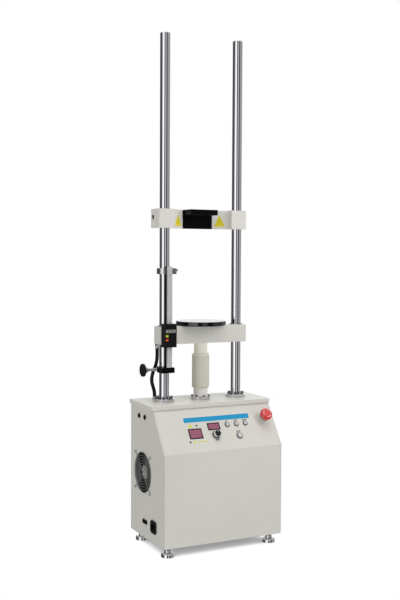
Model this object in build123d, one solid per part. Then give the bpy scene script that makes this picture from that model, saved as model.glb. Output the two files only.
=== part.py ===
from build123d import *
import os
from math import hypot, radians, tan

# Universal testing machine, in millimetres.
# X runs along the beam, Y to the back, Z up; the origin is under the middle of the footprint.

# Clearances
run_gap = 0.3
seat_gap = 0.05
edge_break = 1.0

# Cabinet
cabinet_width = 380.0
cabinet_depth = 240.0
cabinet_height = 379.0
slope_run = 80.4
slope_rise = 114.5
sheet = 2.0
floor_thickness = 4.0
plate_thickness = 12.0
plate_overhang = 4.5
post_size = 25.0
post_inset = 50.0
post_slope_gap = 6.0
vent_count = 7
vent_pitch = 14.0
vent_size = (110.0, 5.0)
vent_top_inset = 30.0

# Levelling feet
foot_height = 29.0
foot_inset = (25.0, 28.0)
foot_pad_diameter = 38.0
foot_pad_height = 12.0
foot_neck_diameter = 20.0
foot_neck_height = 8.0
foot_stud_diameter = 10.0
foot_stud_reach = 24.0
foot_nut_flats = 17.0
foot_nut_height = 7.0

# Columns
column_spacing = 239.0
column_diameter = 30.0
column_forward = 4.2
column_top = 1494.0
column_end_diameter = 24.0
column_end_chamfer = 2.0
column_nut_flats = 36.0
column_nut_height = 18.0
collar_height = 9.0
collar_screw_count = 6
collar_screw_space = 8.0
collar_rim = 7.0
screw_head = (9.0, 6.0)
screw_shank = 6.0
screw_socket = (5.0, 3.0)

# Lifting jack
jack_flange_height = 9.0
jack_flange_rim = 4.0
jack_screw_space = 4.0
jack_screw_head = (6.5, 4.0)
jack_screw_shank = 4.0
jack_screw_socket = (3.0, 2.0)
jack_screw_turn = 30.0
guide_tube_diameter = 42.0
guide_tube_wall = 5.0
barrel_wall = 4.7
barrel_foot_gap = 25.6
barrel_length = 97.0
barrel_cap = 6.0
barrel_chamfer = 3.0
ram_ring_height = 6.0
ram_ring_chamfer = 3.0
ram_diameter = 40.0
ram_crown = 8.0
ram_spigot = (24.0, 20.0)
lift_screw_diameter = 22.0
lift_screw_tail = 58.0
lift_screw_space = 2.0
lift_down = 10.0
lift_end_gap = 3.0

# Drive under the top plate
gearbox_height = 100.0
gearbox_wall = 8.0
gear_diameter = 84.0
gear_width = 18.0
nut_diameter = 40.0
motor_diameter = 76.0
motor_length = 92.0
motor_edge = 5.0
motor_screw_gap = 8.0
motor_flange = (4.0, 8.0)
motor_shaft = 10.0

# Electronics inside the cabinet
supply_size = (150.0, 90.0, 50.0)
supply_place = (40.0, 20.0)
supply_edge = 2.0
board_size = (160.0, 110.0, 1.6)
board_place = (30.0, 157.0)
board_standoff = (7.0, 10.0)
board_part_height = 14.0

# Moving beam and platen
beam_end = 23.5
beam_depth = 46.0
beam_height = 52.5
beam_corner = 3.0
bush_wall = 2.0
bush_flange = (2.2, 2.0)
beam_clearance_height = 169.5
platen_diameter = 150.0
platen_thickness = 13.0
platen_edge = 1.0
platen_lower_edge = 2.0
platen_spigot = (30.0, 8.0)

# Upper crosshead
crosshead_clearance_height = 509.5
crosshead_height = 56.0
crosshead_front = 17.0
crosshead_block_half = 26.0
crosshead_arm_step = 20.0
crosshead_web_half = 49.0
crosshead_web_front = 26.5
crosshead_web = 7.5
crosshead_corner = 5.0
clamp_slit = 3.0
clamp_screw_back = 27.5
clamp_screw_height = 32.5
clamp_screw_diameter = 10.0
clamp_screw_head = (16.0, 10.0)
clamp_screw_sink = 13.0

# Load bracket
bracket_side_gap = 4.0
bracket_reach = 47.5
bracket_plate = 16.0
bracket_back = 10.0
bracket_hole = 20.0
bracket_edge = 1.5

# Displacement scale on the left column
bar_width = 18.0
bar_depth = 12.0
bar_length = 294.0
bar_edge = 0.8
bar_front_gap = 36.0
bar_foot_height = 103.0
ring_diameter = 46.0
ring_height = 17.0
ring_drop = 5.0
ring_ear = (15.0, 20.0)
ring_slit = 2.0
wing_shank = 6.0
wing_head = (9.0, 8.0)
wing_size = (16.0, 9.0, 2.6)
wing_turn = 40.0
clamp_height = 15.5
clamp_rear_radius = 21.0
clamp_left = 24.5
clamp_right = 17.0
clamp_front_lip = 2.0
knob_stem_diameter = 8.0
knob_diameter = 37.0
knob_thickness = 9.0
knob_hub = (16.0, 9.0)
knob_face_out = 72.5

# Readout head on the beam
head_width = 40.0
head_height = 68.0
head_front_wall = 9.0
head_corner = 3.0
head_over_beam = 9.0
lcd_size = (32.0, 10.0)
lcd_drop = 21.0
head_button_size = (8.0, 6.5)
head_button_gap = 9.0
head_button_pitch = 11.5
head_button_across = -12.0
head_button_edge = 0.5
head_button_height = 1.6
head_button_travel = 0.8
head_button_depth = 4.0

# Control panel, places measured across from the middle and up the slope from the bend
display_large = (42.5, 31.5)
display_large_place = (-76.2, 57.8)
display_small = (39.5, 22.5)
display_small_place = (-13.2, 76.2)
display_rim = 2.5
display_proud = 1.6
display_depth = 14.0
speed_knob_place = (-12.0, 49.5)
speed_knob_diameter = 21.5
speed_knob_height = 12.5
speed_knob_cap = (17.0, 3.0)
speed_knob_shaft = 6.0
speed_knob_gap = 0.6
speed_knob_edge = 1.0
speed_pot = (17.0, 12.0)
button_row = 78.0
button_first = 32.0
button_pitch = 30.0
button_row_count = 3
button_small = 16.0
button_large = 20.0
button_large_place = (62.0, 41.0)
button_rim = 2.4
button_proud = 2.0
button_stand = 2.4
button_travel = 2.0
button_depth = 6.0
button_body_length = 22.0
stop_inset = 33.5
stop_up = 90.5
stop_head_diameter = 37.0
stop_head_height = 15.0
stop_head_crown = 7.0
stop_head_under = 4.0
stop_stem_diameter = 18.0
stop_stem_height = 17.0
stop_collar = (30.0, 8.5)
stop_block = (30.0, 36.0, 24.0)
stop_travel = 4.0

# Left side fittings, places measured forward from the rear face and up from the underside
fan_place = (91.3, 188.0)
fan_size = 120.0
fan_depth = 25.0
fan_screw_inset = 7.5
fan_rim = 1.5
fan_hub = 42.0
fan_blade_count = 7
fan_blade_thickness = 2.0
fan_blade_pitch = 35.0
fan_strut = 6.0
fan_back = 4.0
guard_ring_count = 6
guard_ring_step = 8.0
guard_wire = 2.0
fan_screw_pad = 8.0
fan_screw_hole = 4.3
inlet_place = (170.8, 46.5)
inlet_size = (39.0, 36.0)
inlet_flange = 3.0
inlet_chamfer = 6.0
inlet_recess = (25.0, 17.0, 14.0)
inlet_depth = 22.0
inlet_pin = (2.0, 5.0, 9.0)
inlet_pin_step = 2.0
serial_place = (108.2, 47.0)
serial_plate = (31.0, 12.5, 1.0)
serial_shell = (18.0, 9.0, 4.0)
serial_depth = 10.0
serial_angle = 80.0
serial_post = 5.0
socket_forward = (64.5, 106.1)
socket_drop = (28.0, 27.0)
socket_flange = (14.0, 3.0)
socket_edge = 0.6
socket_bore = 8.0
socket_wall = 1.0
socket_well = 5.0
socket_depth = 14.0

# Lead from the moving beam to the top plate, points measured from the left column's axis and the plate's top
lead_diameter = 10.5
lead_bend_share = 0.45
gland_flats = 12.5
gland_neck = 11.5
gland_height = (12.5, 10.0)
lead_points = [
    (-15.7, 16.5, 157.0),
    (-15.7, 16.5, 144.0),
    (-12.5, 24.0, 122.0),
    (-15.5, 29.0, 101.0),
    (-23.5, 33.0, 80.0),
    (-25.0, 37.0, 58.0),
    (-17.5, 41.5, 38.0),
    (-12.0, 43.0, 23.0),
    (-12.0, 43.0, 10.0),
]

# Places worked out from the sizes above
side_x = cabinet_width / 2
front_y = -(cabinet_depth + plate_overhang) / 2
rear_y = front_y + cabinet_depth
base_z = foot_height
floor_z = base_z + floor_thickness
roof_z = base_z + cabinet_height
bend_z = roof_z - slope_rise
plate_z = roof_z + plate_thickness
plate_front = front_y + slope_run - plate_overhang
column_x = column_spacing / 2
column_y = (front_y + slope_run + rear_y) / 2 - column_forward
collar_screw_circle = column_diameter + 2 * collar_screw_space
collar_diameter = collar_screw_circle + 2 * collar_rim
collar_z = plate_z + collar_height
jack_screw_circle = guide_tube_diameter + 2 * jack_screw_space
jack_flange_diameter = jack_screw_circle + 2 * jack_flange_rim
barrel_diameter = guide_tube_diameter + 2 * run_gap + 2 * barrel_wall
flange_z = plate_z + jack_flange_height
barrel_z = flange_z + barrel_foot_gap
barrel_top = barrel_z + barrel_length
guide_top = barrel_top - barrel_cap - lift_down - lift_end_gap
beam_z = plate_z + beam_clearance_height
beam_top = beam_z + beam_height
beam_front = column_y - beam_depth / 2
platen_z = beam_top + platen_thickness
crosshead_z = plate_z + crosshead_clearance_height
crosshead_top = crosshead_z + crosshead_height
crosshead_rear = crosshead_web_front + bracket_back + crosshead_web
gearbox_z = roof_z - gearbox_height
motor_x = lift_screw_diameter / 2 + motor_screw_gap + motor_diameter / 2
pinion_diameter = 2 * (motor_x - gear_diameter / 2 - run_gap)
stop_place = (side_x - stop_inset, stop_up)
fan_bore = fan_size - 2 * fan_rim
fan_screw_spacing = fan_size - 2 * fan_screw_inset
socket_places = [(forward, cabinet_height - drop) for forward, drop in zip(socket_forward, socket_drop)]
slope_length = hypot(slope_run, slope_rise)
slope_out = (0, -slope_rise / slope_length, slope_run / slope_length)
slope = Plane(origin=(0, front_y, bend_z), x_dir=(1, 0, 0), z_dir=slope_out)

low = (Align.CENTER, Align.CENTER, Align.MIN)
corner = (Align.MIN, Align.MIN, Align.MIN)


# Shared shapes
def block(x0, x1, y0, y1, z0, z1):
    return Pos(x0, y0, z0) * Box(x1 - x0, y1 - y0, z1 - z0, align=corner)


def rod(diameter, z0, z1, x=0.0, y=0.0):
    return Pos(x, y, z0) * Cylinder(diameter / 2, z1 - z0, align=low)


def hexagon(flats, z0, z1, x=0.0, y=0.0):
    outline = RegularPolygon(flats / 2, 6, major_radius=False)
    return Pos(x, y, z0) * extrude(outline, z1 - z0)


def cap_screw(head, shank, length, socket):
    body = rod(head[0], 0, head[1]) + rod(shank, -length, 0)
    return body - hexagon(socket[0], head[1] - socket[1], head[1])


def upright(points, z0, z1):
    outline = make_face(Polyline(*points, close=True))
    return Pos(0, 0, z0) * extrude(outline, z1 - z0)


def on_panel(place, shape):
    return slope.location * Pos(place[0], place[1], 0) * shape


def on_left(place, shape):
    wall = Plane(origin=(-side_x, rear_y, base_z), x_dir=(0, -1, 0), z_dir=(-1, 0, 0))
    return wall.location * Pos(place[0], place[1], 0) * shape


def plate_on_panel(place, size, z0, z1):
    return on_panel(place, Pos(0, 0, z0) * Box(size[0], size[1], z1 - z0, align=low))


def save(name, *shapes):
    solids = []
    for shape in shapes:
        solids.extend(shape.solids())
    export_step(Compound(children=solids) if len(solids) > 1 else solids[0], f"parts/{name}.step")


# Cabinet panels
def side_outline():
    return [
        (front_y, base_z),
        (front_y, bend_z),
        (front_y + slope_run, roof_z),
        (rear_y, roof_z),
        (rear_y, base_z),
    ]


def side_panel(x0):
    face = make_face(Polyline(*[(x0, y, z) for y, z in side_outline()], close=True))
    return extrude(face, sheet, dir=(1, 0, 0))


def left_panel():
    panel = side_panel(-side_x)
    reach = 4 * sheet
    panel -= on_left(fan_place, Cylinder(fan_bore / 2, reach))
    panel -= on_left(inlet_place, Box(inlet_recess[0] + 2 * sheet, inlet_recess[1] + 2 * sheet, reach))
    panel -= on_left(serial_place, Box(serial_shell[0] + run_gap, serial_shell[1] + run_gap, reach))
    for place in socket_places:
        panel -= on_left(place, Cylinder(socket_bore / 2 + run_gap, reach))
    for across in (-1, 1):
        for up in (-1, 1):
            corner_place = Pos(across * fan_screw_spacing / 2, up * fan_screw_spacing / 2, 0)
            panel -= on_left(fan_place, corner_place * Cylinder(fan_screw_hole / 2, reach))
    return panel


def front_panel():
    lean = slope_run / slope_length
    rise = slope_rise / slope_length
    inner_bend = bend_z - sheet * (1 - rise) / lean
    inner_top = front_y + slope_run + sheet / rise
    outline = [
        (front_y, base_z),
        (front_y, bend_z),
        (front_y + slope_run, roof_z),
        (inner_top, roof_z),
        (front_y + sheet, inner_bend),
        (front_y + sheet, base_z),
    ]
    half = side_x - sheet
    face = make_face(Polyline(*[(-half, y, z) for y, z in outline], close=True))
    panel = extrude(face, 2 * half, dir=(1, 0, 0))
    reach = 6 * sheet
    for place, size in ((display_large_place, display_large), (display_small_place, display_small)):
        panel -= on_panel(place, Box(size[0] - 2 * display_rim, size[1] - 2 * display_rim, reach))
    panel -= on_panel(speed_knob_place, Cylinder(speed_knob_shaft / 2 + run_gap, reach))
    for place, size in button_list():
        panel -= on_panel(place, Cylinder((size - button_rim) / 2 + seat_gap, reach))
    panel -= on_panel(stop_place, Cylinder(stop_stem_diameter / 2 + run_gap, reach))
    return panel


def rear_panel():
    half = side_x - sheet
    panel = block(-half, half, rear_y - sheet, rear_y, floor_z, roof_z)
    for x, z in board_corners():
        panel += Pos(x, board_face(), z) * Rot(-90, 0, 0) * rod(board_standoff[0], 0, board_standoff[1])
    slot = extrude(SlotOverall(*vent_size), 2 * sheet, both=True)
    for row in range(vent_count):
        z = roof_z - vent_top_inset - row * vent_pitch
        for across in (-1, 1):
            x = across * (vent_size[0] / 2 + vent_pitch)
            panel -= Pos(x, rear_y, z) * Rot(90, 0, 0) * slot
    return panel


def foot_places():
    middle = (front_y + rear_y) / 2
    x = side_x - foot_inset[0]
    y = cabinet_depth / 2 - foot_inset[1]
    return {
        "front_left": (-x, middle - y),
        "front_right": (x, middle - y),
        "rear_left": (-x, middle + y),
        "rear_right": (x, middle + y),
    }


def floor_panel():
    half = side_x - sheet
    panel = block(-half, half, front_y + sheet, rear_y, base_z, floor_z)
    for x, y in foot_places().values():
        panel -= rod(foot_stud_diameter + 2 * run_gap, base_z, floor_z, x, y)
    return panel


def top_plate():
    half = side_x + plate_overhang
    plate = block(-half, half, plate_front, rear_y + plate_overhang, roof_z, plate_z)
    plate = fillet(plate.edges().filter_by(Axis.Z), plate_overhang)
    plate = chamfer(plate.edges().group_by(Axis.Z)[-1], edge_break)
    for side in (-1, 1):
        plate -= rod(column_end_diameter + 2 * seat_gap, roof_z, plate_z, side * column_x, column_y)
    plate -= rod(lift_screw_diameter + 2 * lift_screw_space, roof_z, plate_z, 0, column_y)
    return plate


def frame_posts():
    x = side_x - post_inset
    y_front = front_y + slope_run + post_size / 2 + post_slope_gap
    y_rear = rear_y - sheet - post_size / 2
    wall = 2 * sheet
    posts = []
    for side in (-1, 1):
        for y in (y_front, y_rear):
            post = Box(post_size, post_size, roof_z - floor_z, align=low)
            post -= Box(post_size - wall, post_size - wall, roof_z - floor_z, align=low)
            posts.append(Pos(side * x, y, floor_z) * post)
    return posts


# Feet
def foot(x, y):
    neck_z = foot_pad_height + foot_neck_height
    pad = rod(foot_pad_diameter, 0, foot_pad_height)
    pad = fillet(pad.edges().group_by(Axis.Z)[-1], foot_pad_height / 2)
    neck = rod(foot_neck_diameter, foot_pad_height, neck_z)
    stud = rod(foot_stud_diameter, neck_z, base_z + foot_stud_reach)
    return Pos(x, y, 0) * (pad + neck + stud)


def foot_nuts():
    nuts = []
    bore = foot_stud_diameter + 2 * run_gap
    for x, y in foot_places().values():
        for z in (base_z - foot_nut_height, floor_z):
            nut = hexagon(foot_nut_flats, z, z + foot_nut_height, x, y)
            nuts.append(nut - rod(bore, z, z + foot_nut_height, x, y))
    return nuts


# Columns and collars
def column(side):
    shaft = rod(column_diameter, plate_z, column_top)
    shaft = chamfer(shaft.edges().group_by(Axis.Z)[-1], column_end_chamfer)
    shaft += rod(column_end_diameter, roof_z - column_nut_height, plate_z)
    return Pos(side * column_x, column_y, 0) * shaft


def collar(side):
    ring = rod(collar_diameter, plate_z, collar_z)
    ring = chamfer(ring.edges().group_by(Axis.Z)[-1], edge_break)
    ring -= rod(column_diameter + 2 * seat_gap, plate_z, collar_z)
    for spot in PolarLocations(collar_screw_circle / 2, collar_screw_count):
        ring -= spot * rod(screw_shank + 2 * seat_gap, plate_z, collar_z)
    return Pos(side * column_x, column_y, 0) * ring


def collar_screws():
    screw = cap_screw(screw_head, screw_shank, collar_height, screw_socket)
    screws = []
    for side in (-1, 1):
        for spot in PolarLocations(collar_screw_circle / 2, collar_screw_count):
            screws.append(Pos(side * column_x, column_y, collar_z) * spot * screw)
    return screws


def column_nut(side):
    z = roof_z - column_nut_height
    nut = hexagon(column_nut_flats, z, roof_z, side * column_x, column_y)
    return nut - rod(column_end_diameter + 2 * seat_gap, z, roof_z, side * column_x, column_y)


# Lifting jack
def jack_spots():
    return PolarLocations(jack_screw_circle / 2, collar_screw_count, start_angle=jack_screw_turn)


def jack_flange():
    flange = rod(jack_flange_diameter, plate_z, flange_z)
    flange = chamfer(flange.edges().group_by(Axis.Z)[-1], edge_break)
    flange -= rod(guide_tube_diameter + 2 * seat_gap, plate_z, flange_z)
    for spot in jack_spots():
        flange -= spot * rod(jack_screw_shank + 2 * seat_gap, plate_z, flange_z)
    return Pos(0, column_y, 0) * flange


def jack_screws():
    screw = cap_screw(jack_screw_head, jack_screw_shank, jack_flange_height, jack_screw_socket)
    return [Pos(0, column_y, flange_z) * spot * screw for spot in jack_spots()]


def guide_tube():
    tube = rod(guide_tube_diameter, plate_z, guide_top, 0, column_y)
    bore = guide_tube_diameter - 2 * guide_tube_wall
    return tube - rod(bore, plate_z, guide_top, 0, column_y)


def barrel():
    body = rod(barrel_diameter, barrel_z, barrel_top)
    body = chamfer(body.edges().group_by(Axis.Z)[0], barrel_chamfer)
    body -= rod(guide_tube_diameter + 2 * run_gap, barrel_z, barrel_top - barrel_cap)
    body -= rod(lift_screw_diameter + 2 * seat_gap, barrel_z, barrel_top)
    return Pos(0, column_y, 0) * body


def ram():
    ring = rod(barrel_diameter, barrel_top, barrel_top + ram_ring_height)
    ring = chamfer(ring.edges().group_by(Axis.Z)[-1], ram_ring_chamfer)
    shaft = ring + rod(ram_diameter, barrel_top, beam_z)
    shaft += rod(ram_spigot[0], beam_z, beam_z + ram_spigot[1])
    shaft -= rod(lift_screw_diameter + 2 * seat_gap, barrel_top, beam_z - ram_crown)
    return Pos(0, column_y, 0) * shaft


def lift_screw():
    screw = rod(lift_screw_diameter, gearbox_z - lift_screw_tail, beam_z - ram_crown)
    screw = chamfer(screw.edges().group_by(Axis.Z)[0], edge_break)
    return Pos(0, column_y, 0) * screw


# Drive under the top plate
def gearbox_housing():
    half_depth = gear_diameter / 2 + gearbox_wall
    end = motor_x + pinion_diameter / 2 + gearbox_wall
    body = block(-half_depth, end, -half_depth, half_depth, gearbox_z, roof_z)
    body = fillet(body.edges().filter_by(Axis.Z), gearbox_wall)
    chamber_z = gearbox_z + gearbox_wall
    body -= rod(gear_diameter + gearbox_wall, chamber_z, roof_z)
    body -= rod(pinion_diameter + gearbox_wall, chamber_z, roof_z, motor_x)
    body -= rod(nut_diameter + 2 * run_gap, gearbox_z, roof_z)
    body -= rod(pinion_diameter + 2 * run_gap, gearbox_z, roof_z, motor_x)
    return Pos(0, column_y, 0) * body


def wheel_z():
    return gearbox_z + gearbox_wall + run_gap


def lift_nut():
    hub = rod(nut_diameter, gearbox_z, roof_z - run_gap)
    wheel = rod(gear_diameter, wheel_z(), wheel_z() + gear_width)
    nut = hub + wheel - rod(lift_screw_diameter + 2 * run_gap, gearbox_z, roof_z)
    return Pos(0, column_y, 0) * nut


def gear_motor():
    flange_low = gearbox_z - motor_flange[1]
    body = rod(motor_diameter, flange_low - motor_length, flange_low)
    body = fillet(body.edges().group_by(Axis.Z)[0], motor_edge)
    body += rod(motor_diameter + 2 * motor_flange[0], flange_low, gearbox_z)
    body += rod(motor_shaft, gearbox_z, wheel_z())
    body += rod(pinion_diameter, wheel_z(), wheel_z() + gear_width)
    return Pos(motor_x, column_y, 0) * body


# Electronics inside the cabinet
def power_supply():
    x, y = supply_place
    box = Pos(x, y, floor_z) * Box(*supply_size, align=low)
    return fillet(box.edges().filter_by(Axis.Z), supply_edge)


def board_corners():
    across = board_size[0] / 2 - board_standoff[0]
    up = board_size[1] / 2 - board_standoff[0]
    x, z = board_middle()
    return [(x + i * across, z + j * up) for i in (-1, 1) for j in (-1, 1)]


def board_middle():
    return board_place[0], floor_z + board_place[1]


def board_face():
    return rear_y - sheet - board_standoff[1]


def control_board():
    y = board_face()
    x, z = board_middle()
    board = Pos(x, y - board_size[2] / 2, z) * Box(board_size[0], board_size[2], board_size[1])
    part = Box(board_size[0] / 3, board_part_height, board_size[1] / 4)
    board += Pos(x, y - board_size[2] - board_part_height / 2, z) * part
    return board


# Moving beam and what rides on it
def beam():
    half = column_x + beam_end
    body = block(-half, half, beam_front, beam_front + beam_depth, beam_z, beam_top)
    body = fillet(body.edges(), beam_corner)
    for side in (-1, 1):
        body -= rod(bush_bore() + 2 * bush_wall, beam_z, beam_top, side * column_x, column_y)
    body -= rod(ram_spigot[0] + 2 * seat_gap, beam_z, beam_z + ram_spigot[1], 0, column_y)
    body -= rod(platen_spigot[0] + 2 * seat_gap, beam_top - platen_spigot[1], beam_top, 0, column_y)
    return body


def bush_bore():
    return column_diameter + 2 * run_gap


def bush(side):
    sleeve_diameter = bush_bore() + 2 * bush_wall
    sleeve = rod(sleeve_diameter - 2 * seat_gap, beam_z, beam_top)
    sleeve += rod(sleeve_diameter + 2 * bush_flange[0], beam_top, beam_top + bush_flange[1])
    sleeve -= rod(bush_bore(), beam_z, beam_top + bush_flange[1])
    return Pos(side * column_x, column_y, 0) * sleeve


def platen():
    disc = rod(platen_diameter, beam_top, platen_z)
    disc = chamfer(disc.edges().sort_by(Axis.Z)[-1], platen_edge)
    disc = chamfer(disc.edges().sort_by(Axis.Z)[0], platen_lower_edge)
    disc += rod(platen_spigot[0], beam_top - platen_spigot[1], beam_top)
    return Pos(0, column_y, 0) * disc


# Upper crosshead
def crosshead_outline():
    block_in = column_x - crosshead_block_half
    block_out = column_x + crosshead_block_half
    front = column_y - crosshead_front
    rear = column_y + crosshead_rear
    right = [
        (crosshead_web_half, column_y + crosshead_web_front),
        (block_in, front + crosshead_arm_step),
        (block_in, front),
        (block_out, front),
        (block_out, rear),
    ]
    left = [(-x, y) for x, y in reversed(right)]
    pocket = column_y + crosshead_web_front + bracket_back
    web = [(-crosshead_web_half, pocket), (crosshead_web_half, pocket)]
    return left + web + right


def crosshead():
    body = upright(crosshead_outline(), crosshead_z, crosshead_top)
    ends = body.edges().filter_by(Axis.Z).group_by(Axis.X)
    body = fillet(ends[0] + ends[-1], crosshead_corner)
    middle = crosshead_z + clamp_screw_height
    screw_y = column_y + clamp_screw_back
    end = column_x + crosshead_block_half
    for side in (-1, 1):
        x = side * column_x
        body -= rod(column_diameter + 2 * run_gap, crosshead_z, crosshead_top, x, column_y)
        rear = column_y + crosshead_rear
        body -= block(x - clamp_slit / 2, x + clamp_slit / 2, column_y, rear, crosshead_z, crosshead_top)
        bore = rod(clamp_screw_diameter + 2 * seat_gap, 0, clamp_screw_length())
        sink = rod(clamp_screw_head[0] + 2 * run_gap, 0, clamp_screw_sink)
        body -= Pos(side * end, screw_y, middle) * Rot(0, -90 * side, 0) * (bore + sink)
    return body


def clamp_screw_length():
    return crosshead_block_half + 2 * clamp_screw_diameter


def crosshead_screw(side):
    socket = (clamp_screw_head[0] / 2, clamp_screw_head[1] / 2)
    length = clamp_screw_length() - clamp_screw_sink
    screw = cap_screw(clamp_screw_head, clamp_screw_diameter, length, socket)
    x = side * (column_x + crosshead_block_half - clamp_screw_sink)
    place = Pos(x, column_y + clamp_screw_back, crosshead_z + clamp_screw_height)
    return place * Rot(0, 90 * side, 0) * screw


def load_bracket():
    back = column_y + crosshead_web_front
    plate_low = crosshead_top - bracket_plate
    web = crosshead_web_half
    half = web - bracket_side_gap
    top = block(-half, half, back - bracket_reach, back, plate_low, crosshead_top)
    top = chamfer(top.edges().group_by(Axis.Y)[0], bracket_edge)
    body = top + block(-web, web, back, back + bracket_back, crosshead_z, crosshead_top)
    body -= rod(bracket_hole, plate_low, crosshead_top, 0, column_y)
    return body


# Displacement scale
def bar_back():
    return column_y - bar_front_gap + bar_depth


def bar_z():
    return plate_z + bar_foot_height


def scale_bar():
    half = bar_width / 2
    bar = block(
        -column_x - half, -column_x + half, bar_back() - bar_depth, bar_back(), bar_z(), bar_z() + bar_length
    )
    return chamfer(bar.edges().filter_by(Axis.Z), bar_edge)


def ring_z():
    return bar_z() + bar_length - ring_drop - ring_height


def scale_ring():
    z0 = ring_z()
    z1 = z0 + ring_height
    ring = rod(ring_diameter, z0, z1, -column_x, column_y)
    pad_half = bar_width / 2
    ring += block(-column_x - pad_half, -column_x + pad_half, bar_back(), column_y, z0, z1)
    ear_x = wing_x() + ring_ear[0] / 2
    ring += block(-column_x, ear_x, column_y - ring_ear[1] / 2, column_y + ring_ear[1] / 2, z0, z1)
    ring -= rod(column_diameter + 2 * run_gap, z0, z1, -column_x, column_y)
    ring -= block(-column_x, ear_x, column_y - ring_slit / 2, column_y + ring_slit / 2, z0, z1)
    hole = rod(wing_shank + 2 * run_gap, -ring_ear[1], ring_ear[1])
    return ring - Pos(wing_x(), column_y, (z0 + z1) / 2) * Rot(90, 0, 0) * hole


def wing_x():
    return -column_x + ring_diameter / 2 + ring_ear[0] / 2 - 2 * ring_slit


def wing_screw():
    shank = rod(wing_shank, -ring_ear[1], run_gap)
    head = rod(wing_head[0], run_gap, wing_head[1])
    wing = Pos(0, 0, wing_head[1] - wing_size[1] / 4) * Box(
        wing_size[0], wing_size[2], wing_size[1], align=low
    )
    wing = fillet(wing.edges().filter_by(Axis.Y), wing_size[1] / 3)
    place = Pos(wing_x(), column_y - ring_ear[1] / 2, ring_z() + ring_height / 2)
    return place * Rot(90, 0, 0) * Rot(0, 0, wing_turn) * (shank + head + wing)


def scale_clamp():
    z1 = bar_z()
    z0 = z1 - clamp_height
    front = bar_back() - bar_depth - clamp_front_lip
    body = rod(2 * clamp_rear_radius, z0, z1, -column_x, column_y)
    jaw = block(-column_x - clamp_left, -column_x + clamp_right, front, column_y, z0, z1)
    jaw = fillet(jaw.edges().filter_by(Axis.Z), clamp_front_lip)
    body += jaw
    body -= rod(column_diameter + 2 * run_gap, z0, z1, -column_x, column_y)
    stem = rod(knob_stem_diameter + 2 * run_gap, 0, knob_face_out)
    return body - Pos(-column_x, column_y, knob_z()) * Rot(0, -90, 0) * stem


def knob_z():
    return bar_z() - clamp_height / 2


def clamp_knob():
    tip = column_diameter / 2 + run_gap
    hub_end = knob_face_out - knob_thickness
    stem = rod(knob_stem_diameter, tip, hub_end)
    hub = rod(knob_hub[0], hub_end - knob_hub[1], hub_end)
    disc = rod(knob_diameter, hub_end, knob_face_out)
    disc = fillet(disc.edges(), knob_thickness / 3)
    return Pos(-column_x, column_y, knob_z()) * Rot(0, -90, 0) * (stem + hub + disc)


# Readout head
def head_z():
    return beam_top + head_over_beam - head_height


def head_front():
    return bar_back() - bar_depth - run_gap - head_front_wall


def readout_body():
    top = beam_top + head_over_beam
    half = head_width / 2
    body = block(-column_x - half, -column_x + half, head_front(), beam_front, head_z(), top)
    body = fillet(body.edges().filter_by(Axis.Z).group_by(Axis.Y)[0], head_corner)
    slot = bar_width / 2 + run_gap
    body -= block(-column_x - slot, -column_x + slot, head_front() + head_front_wall, beam_front, head_z(), top)
    body -= lcd_block(seat_gap)
    for x, z in head_button_places():
        well = Box(
            head_button_size[0] + 2 * run_gap,
            2 * head_button_depth,
            head_button_size[1] + 2 * run_gap,
        )
        body -= Pos(x, head_front(), z) * well
    return body


def lcd_block(spare):
    z = beam_top + head_over_beam - lcd_drop
    depth = head_front_wall / 3
    size = (lcd_size[0] + 2 * spare, depth, lcd_size[1] + 2 * spare)
    return Pos(-column_x, head_front() + depth / 2, z) * Box(*size)


def head_button_places():
    upper = beam_top + head_over_beam - lcd_drop - lcd_size[1] / 2 - head_button_gap
    return [(-column_x + head_button_across, z) for z in (upper, upper - head_button_pitch)]


def head_button(x, z):
    inside = head_button_depth - head_button_travel - run_gap
    depth = inside + head_button_height
    key = Box(head_button_size[0], depth, head_button_size[1])
    key = fillet(key.edges().group_by(Axis.Y)[0], head_button_edge)
    return Pos(x, head_front() + inside - depth / 2, z) * key


# Control panel
def displays():
    return ((display_large_place, display_large), (display_small_place, display_small))


def display_bezel(place, size):
    opening = (size[0] - 2 * display_rim, size[1] - 2 * display_rim)
    frame = plate_on_panel(place, size, 0, display_proud)
    frame = chamfer(frame.faces().sort_by(slope_axis())[-1].edges(), display_proud / 3)
    return frame - plate_on_panel(place, opening, 0, display_proud)


def slope_axis():
    return Axis((0, 0, 0), slope_out)


def display_window(place, size):
    opening = (size[0] - 2 * display_rim - 2 * seat_gap, size[1] - 2 * display_rim - 2 * seat_gap)
    return plate_on_panel(place, opening, -display_depth, display_proud / 2)


def speed_knob():
    body = rod(speed_knob_diameter, speed_knob_gap, speed_knob_height)
    body = chamfer(body.edges().group_by(Axis.Z)[-1], speed_knob_edge)
    cap = rod(speed_knob_cap[0], speed_knob_height, speed_knob_height + speed_knob_cap[1])
    shaft = rod(speed_knob_shaft, -sheet - speed_pot[1] / 2, speed_knob_gap)
    return on_panel(speed_knob_place, body + cap + shaft)


def speed_pot_body():
    z = -sheet - speed_pot[1]
    body = rod(speed_pot[0], z, -sheet) - rod(speed_knob_shaft + 2 * run_gap, z + 2 * sheet, -sheet)
    return on_panel(speed_knob_place, body)


def button_list():
    columns = [button_first + index * button_pitch for index in range(button_row_count)]
    small = [((x, button_row), button_small) for x in columns]
    return small + [(button_large_place, button_large)]


def button_bezel(place, size):
    ring = rod(size, 0, button_proud)
    ring = chamfer(ring.edges().group_by(Axis.Z)[-1], button_proud / 3)
    ring += rod(size - button_rim, -sheet, 0)
    return on_panel(place, ring - rod(button_bore(size), -sheet, button_proud))


def button_bore(size):
    return size - 2 * button_rim


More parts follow.
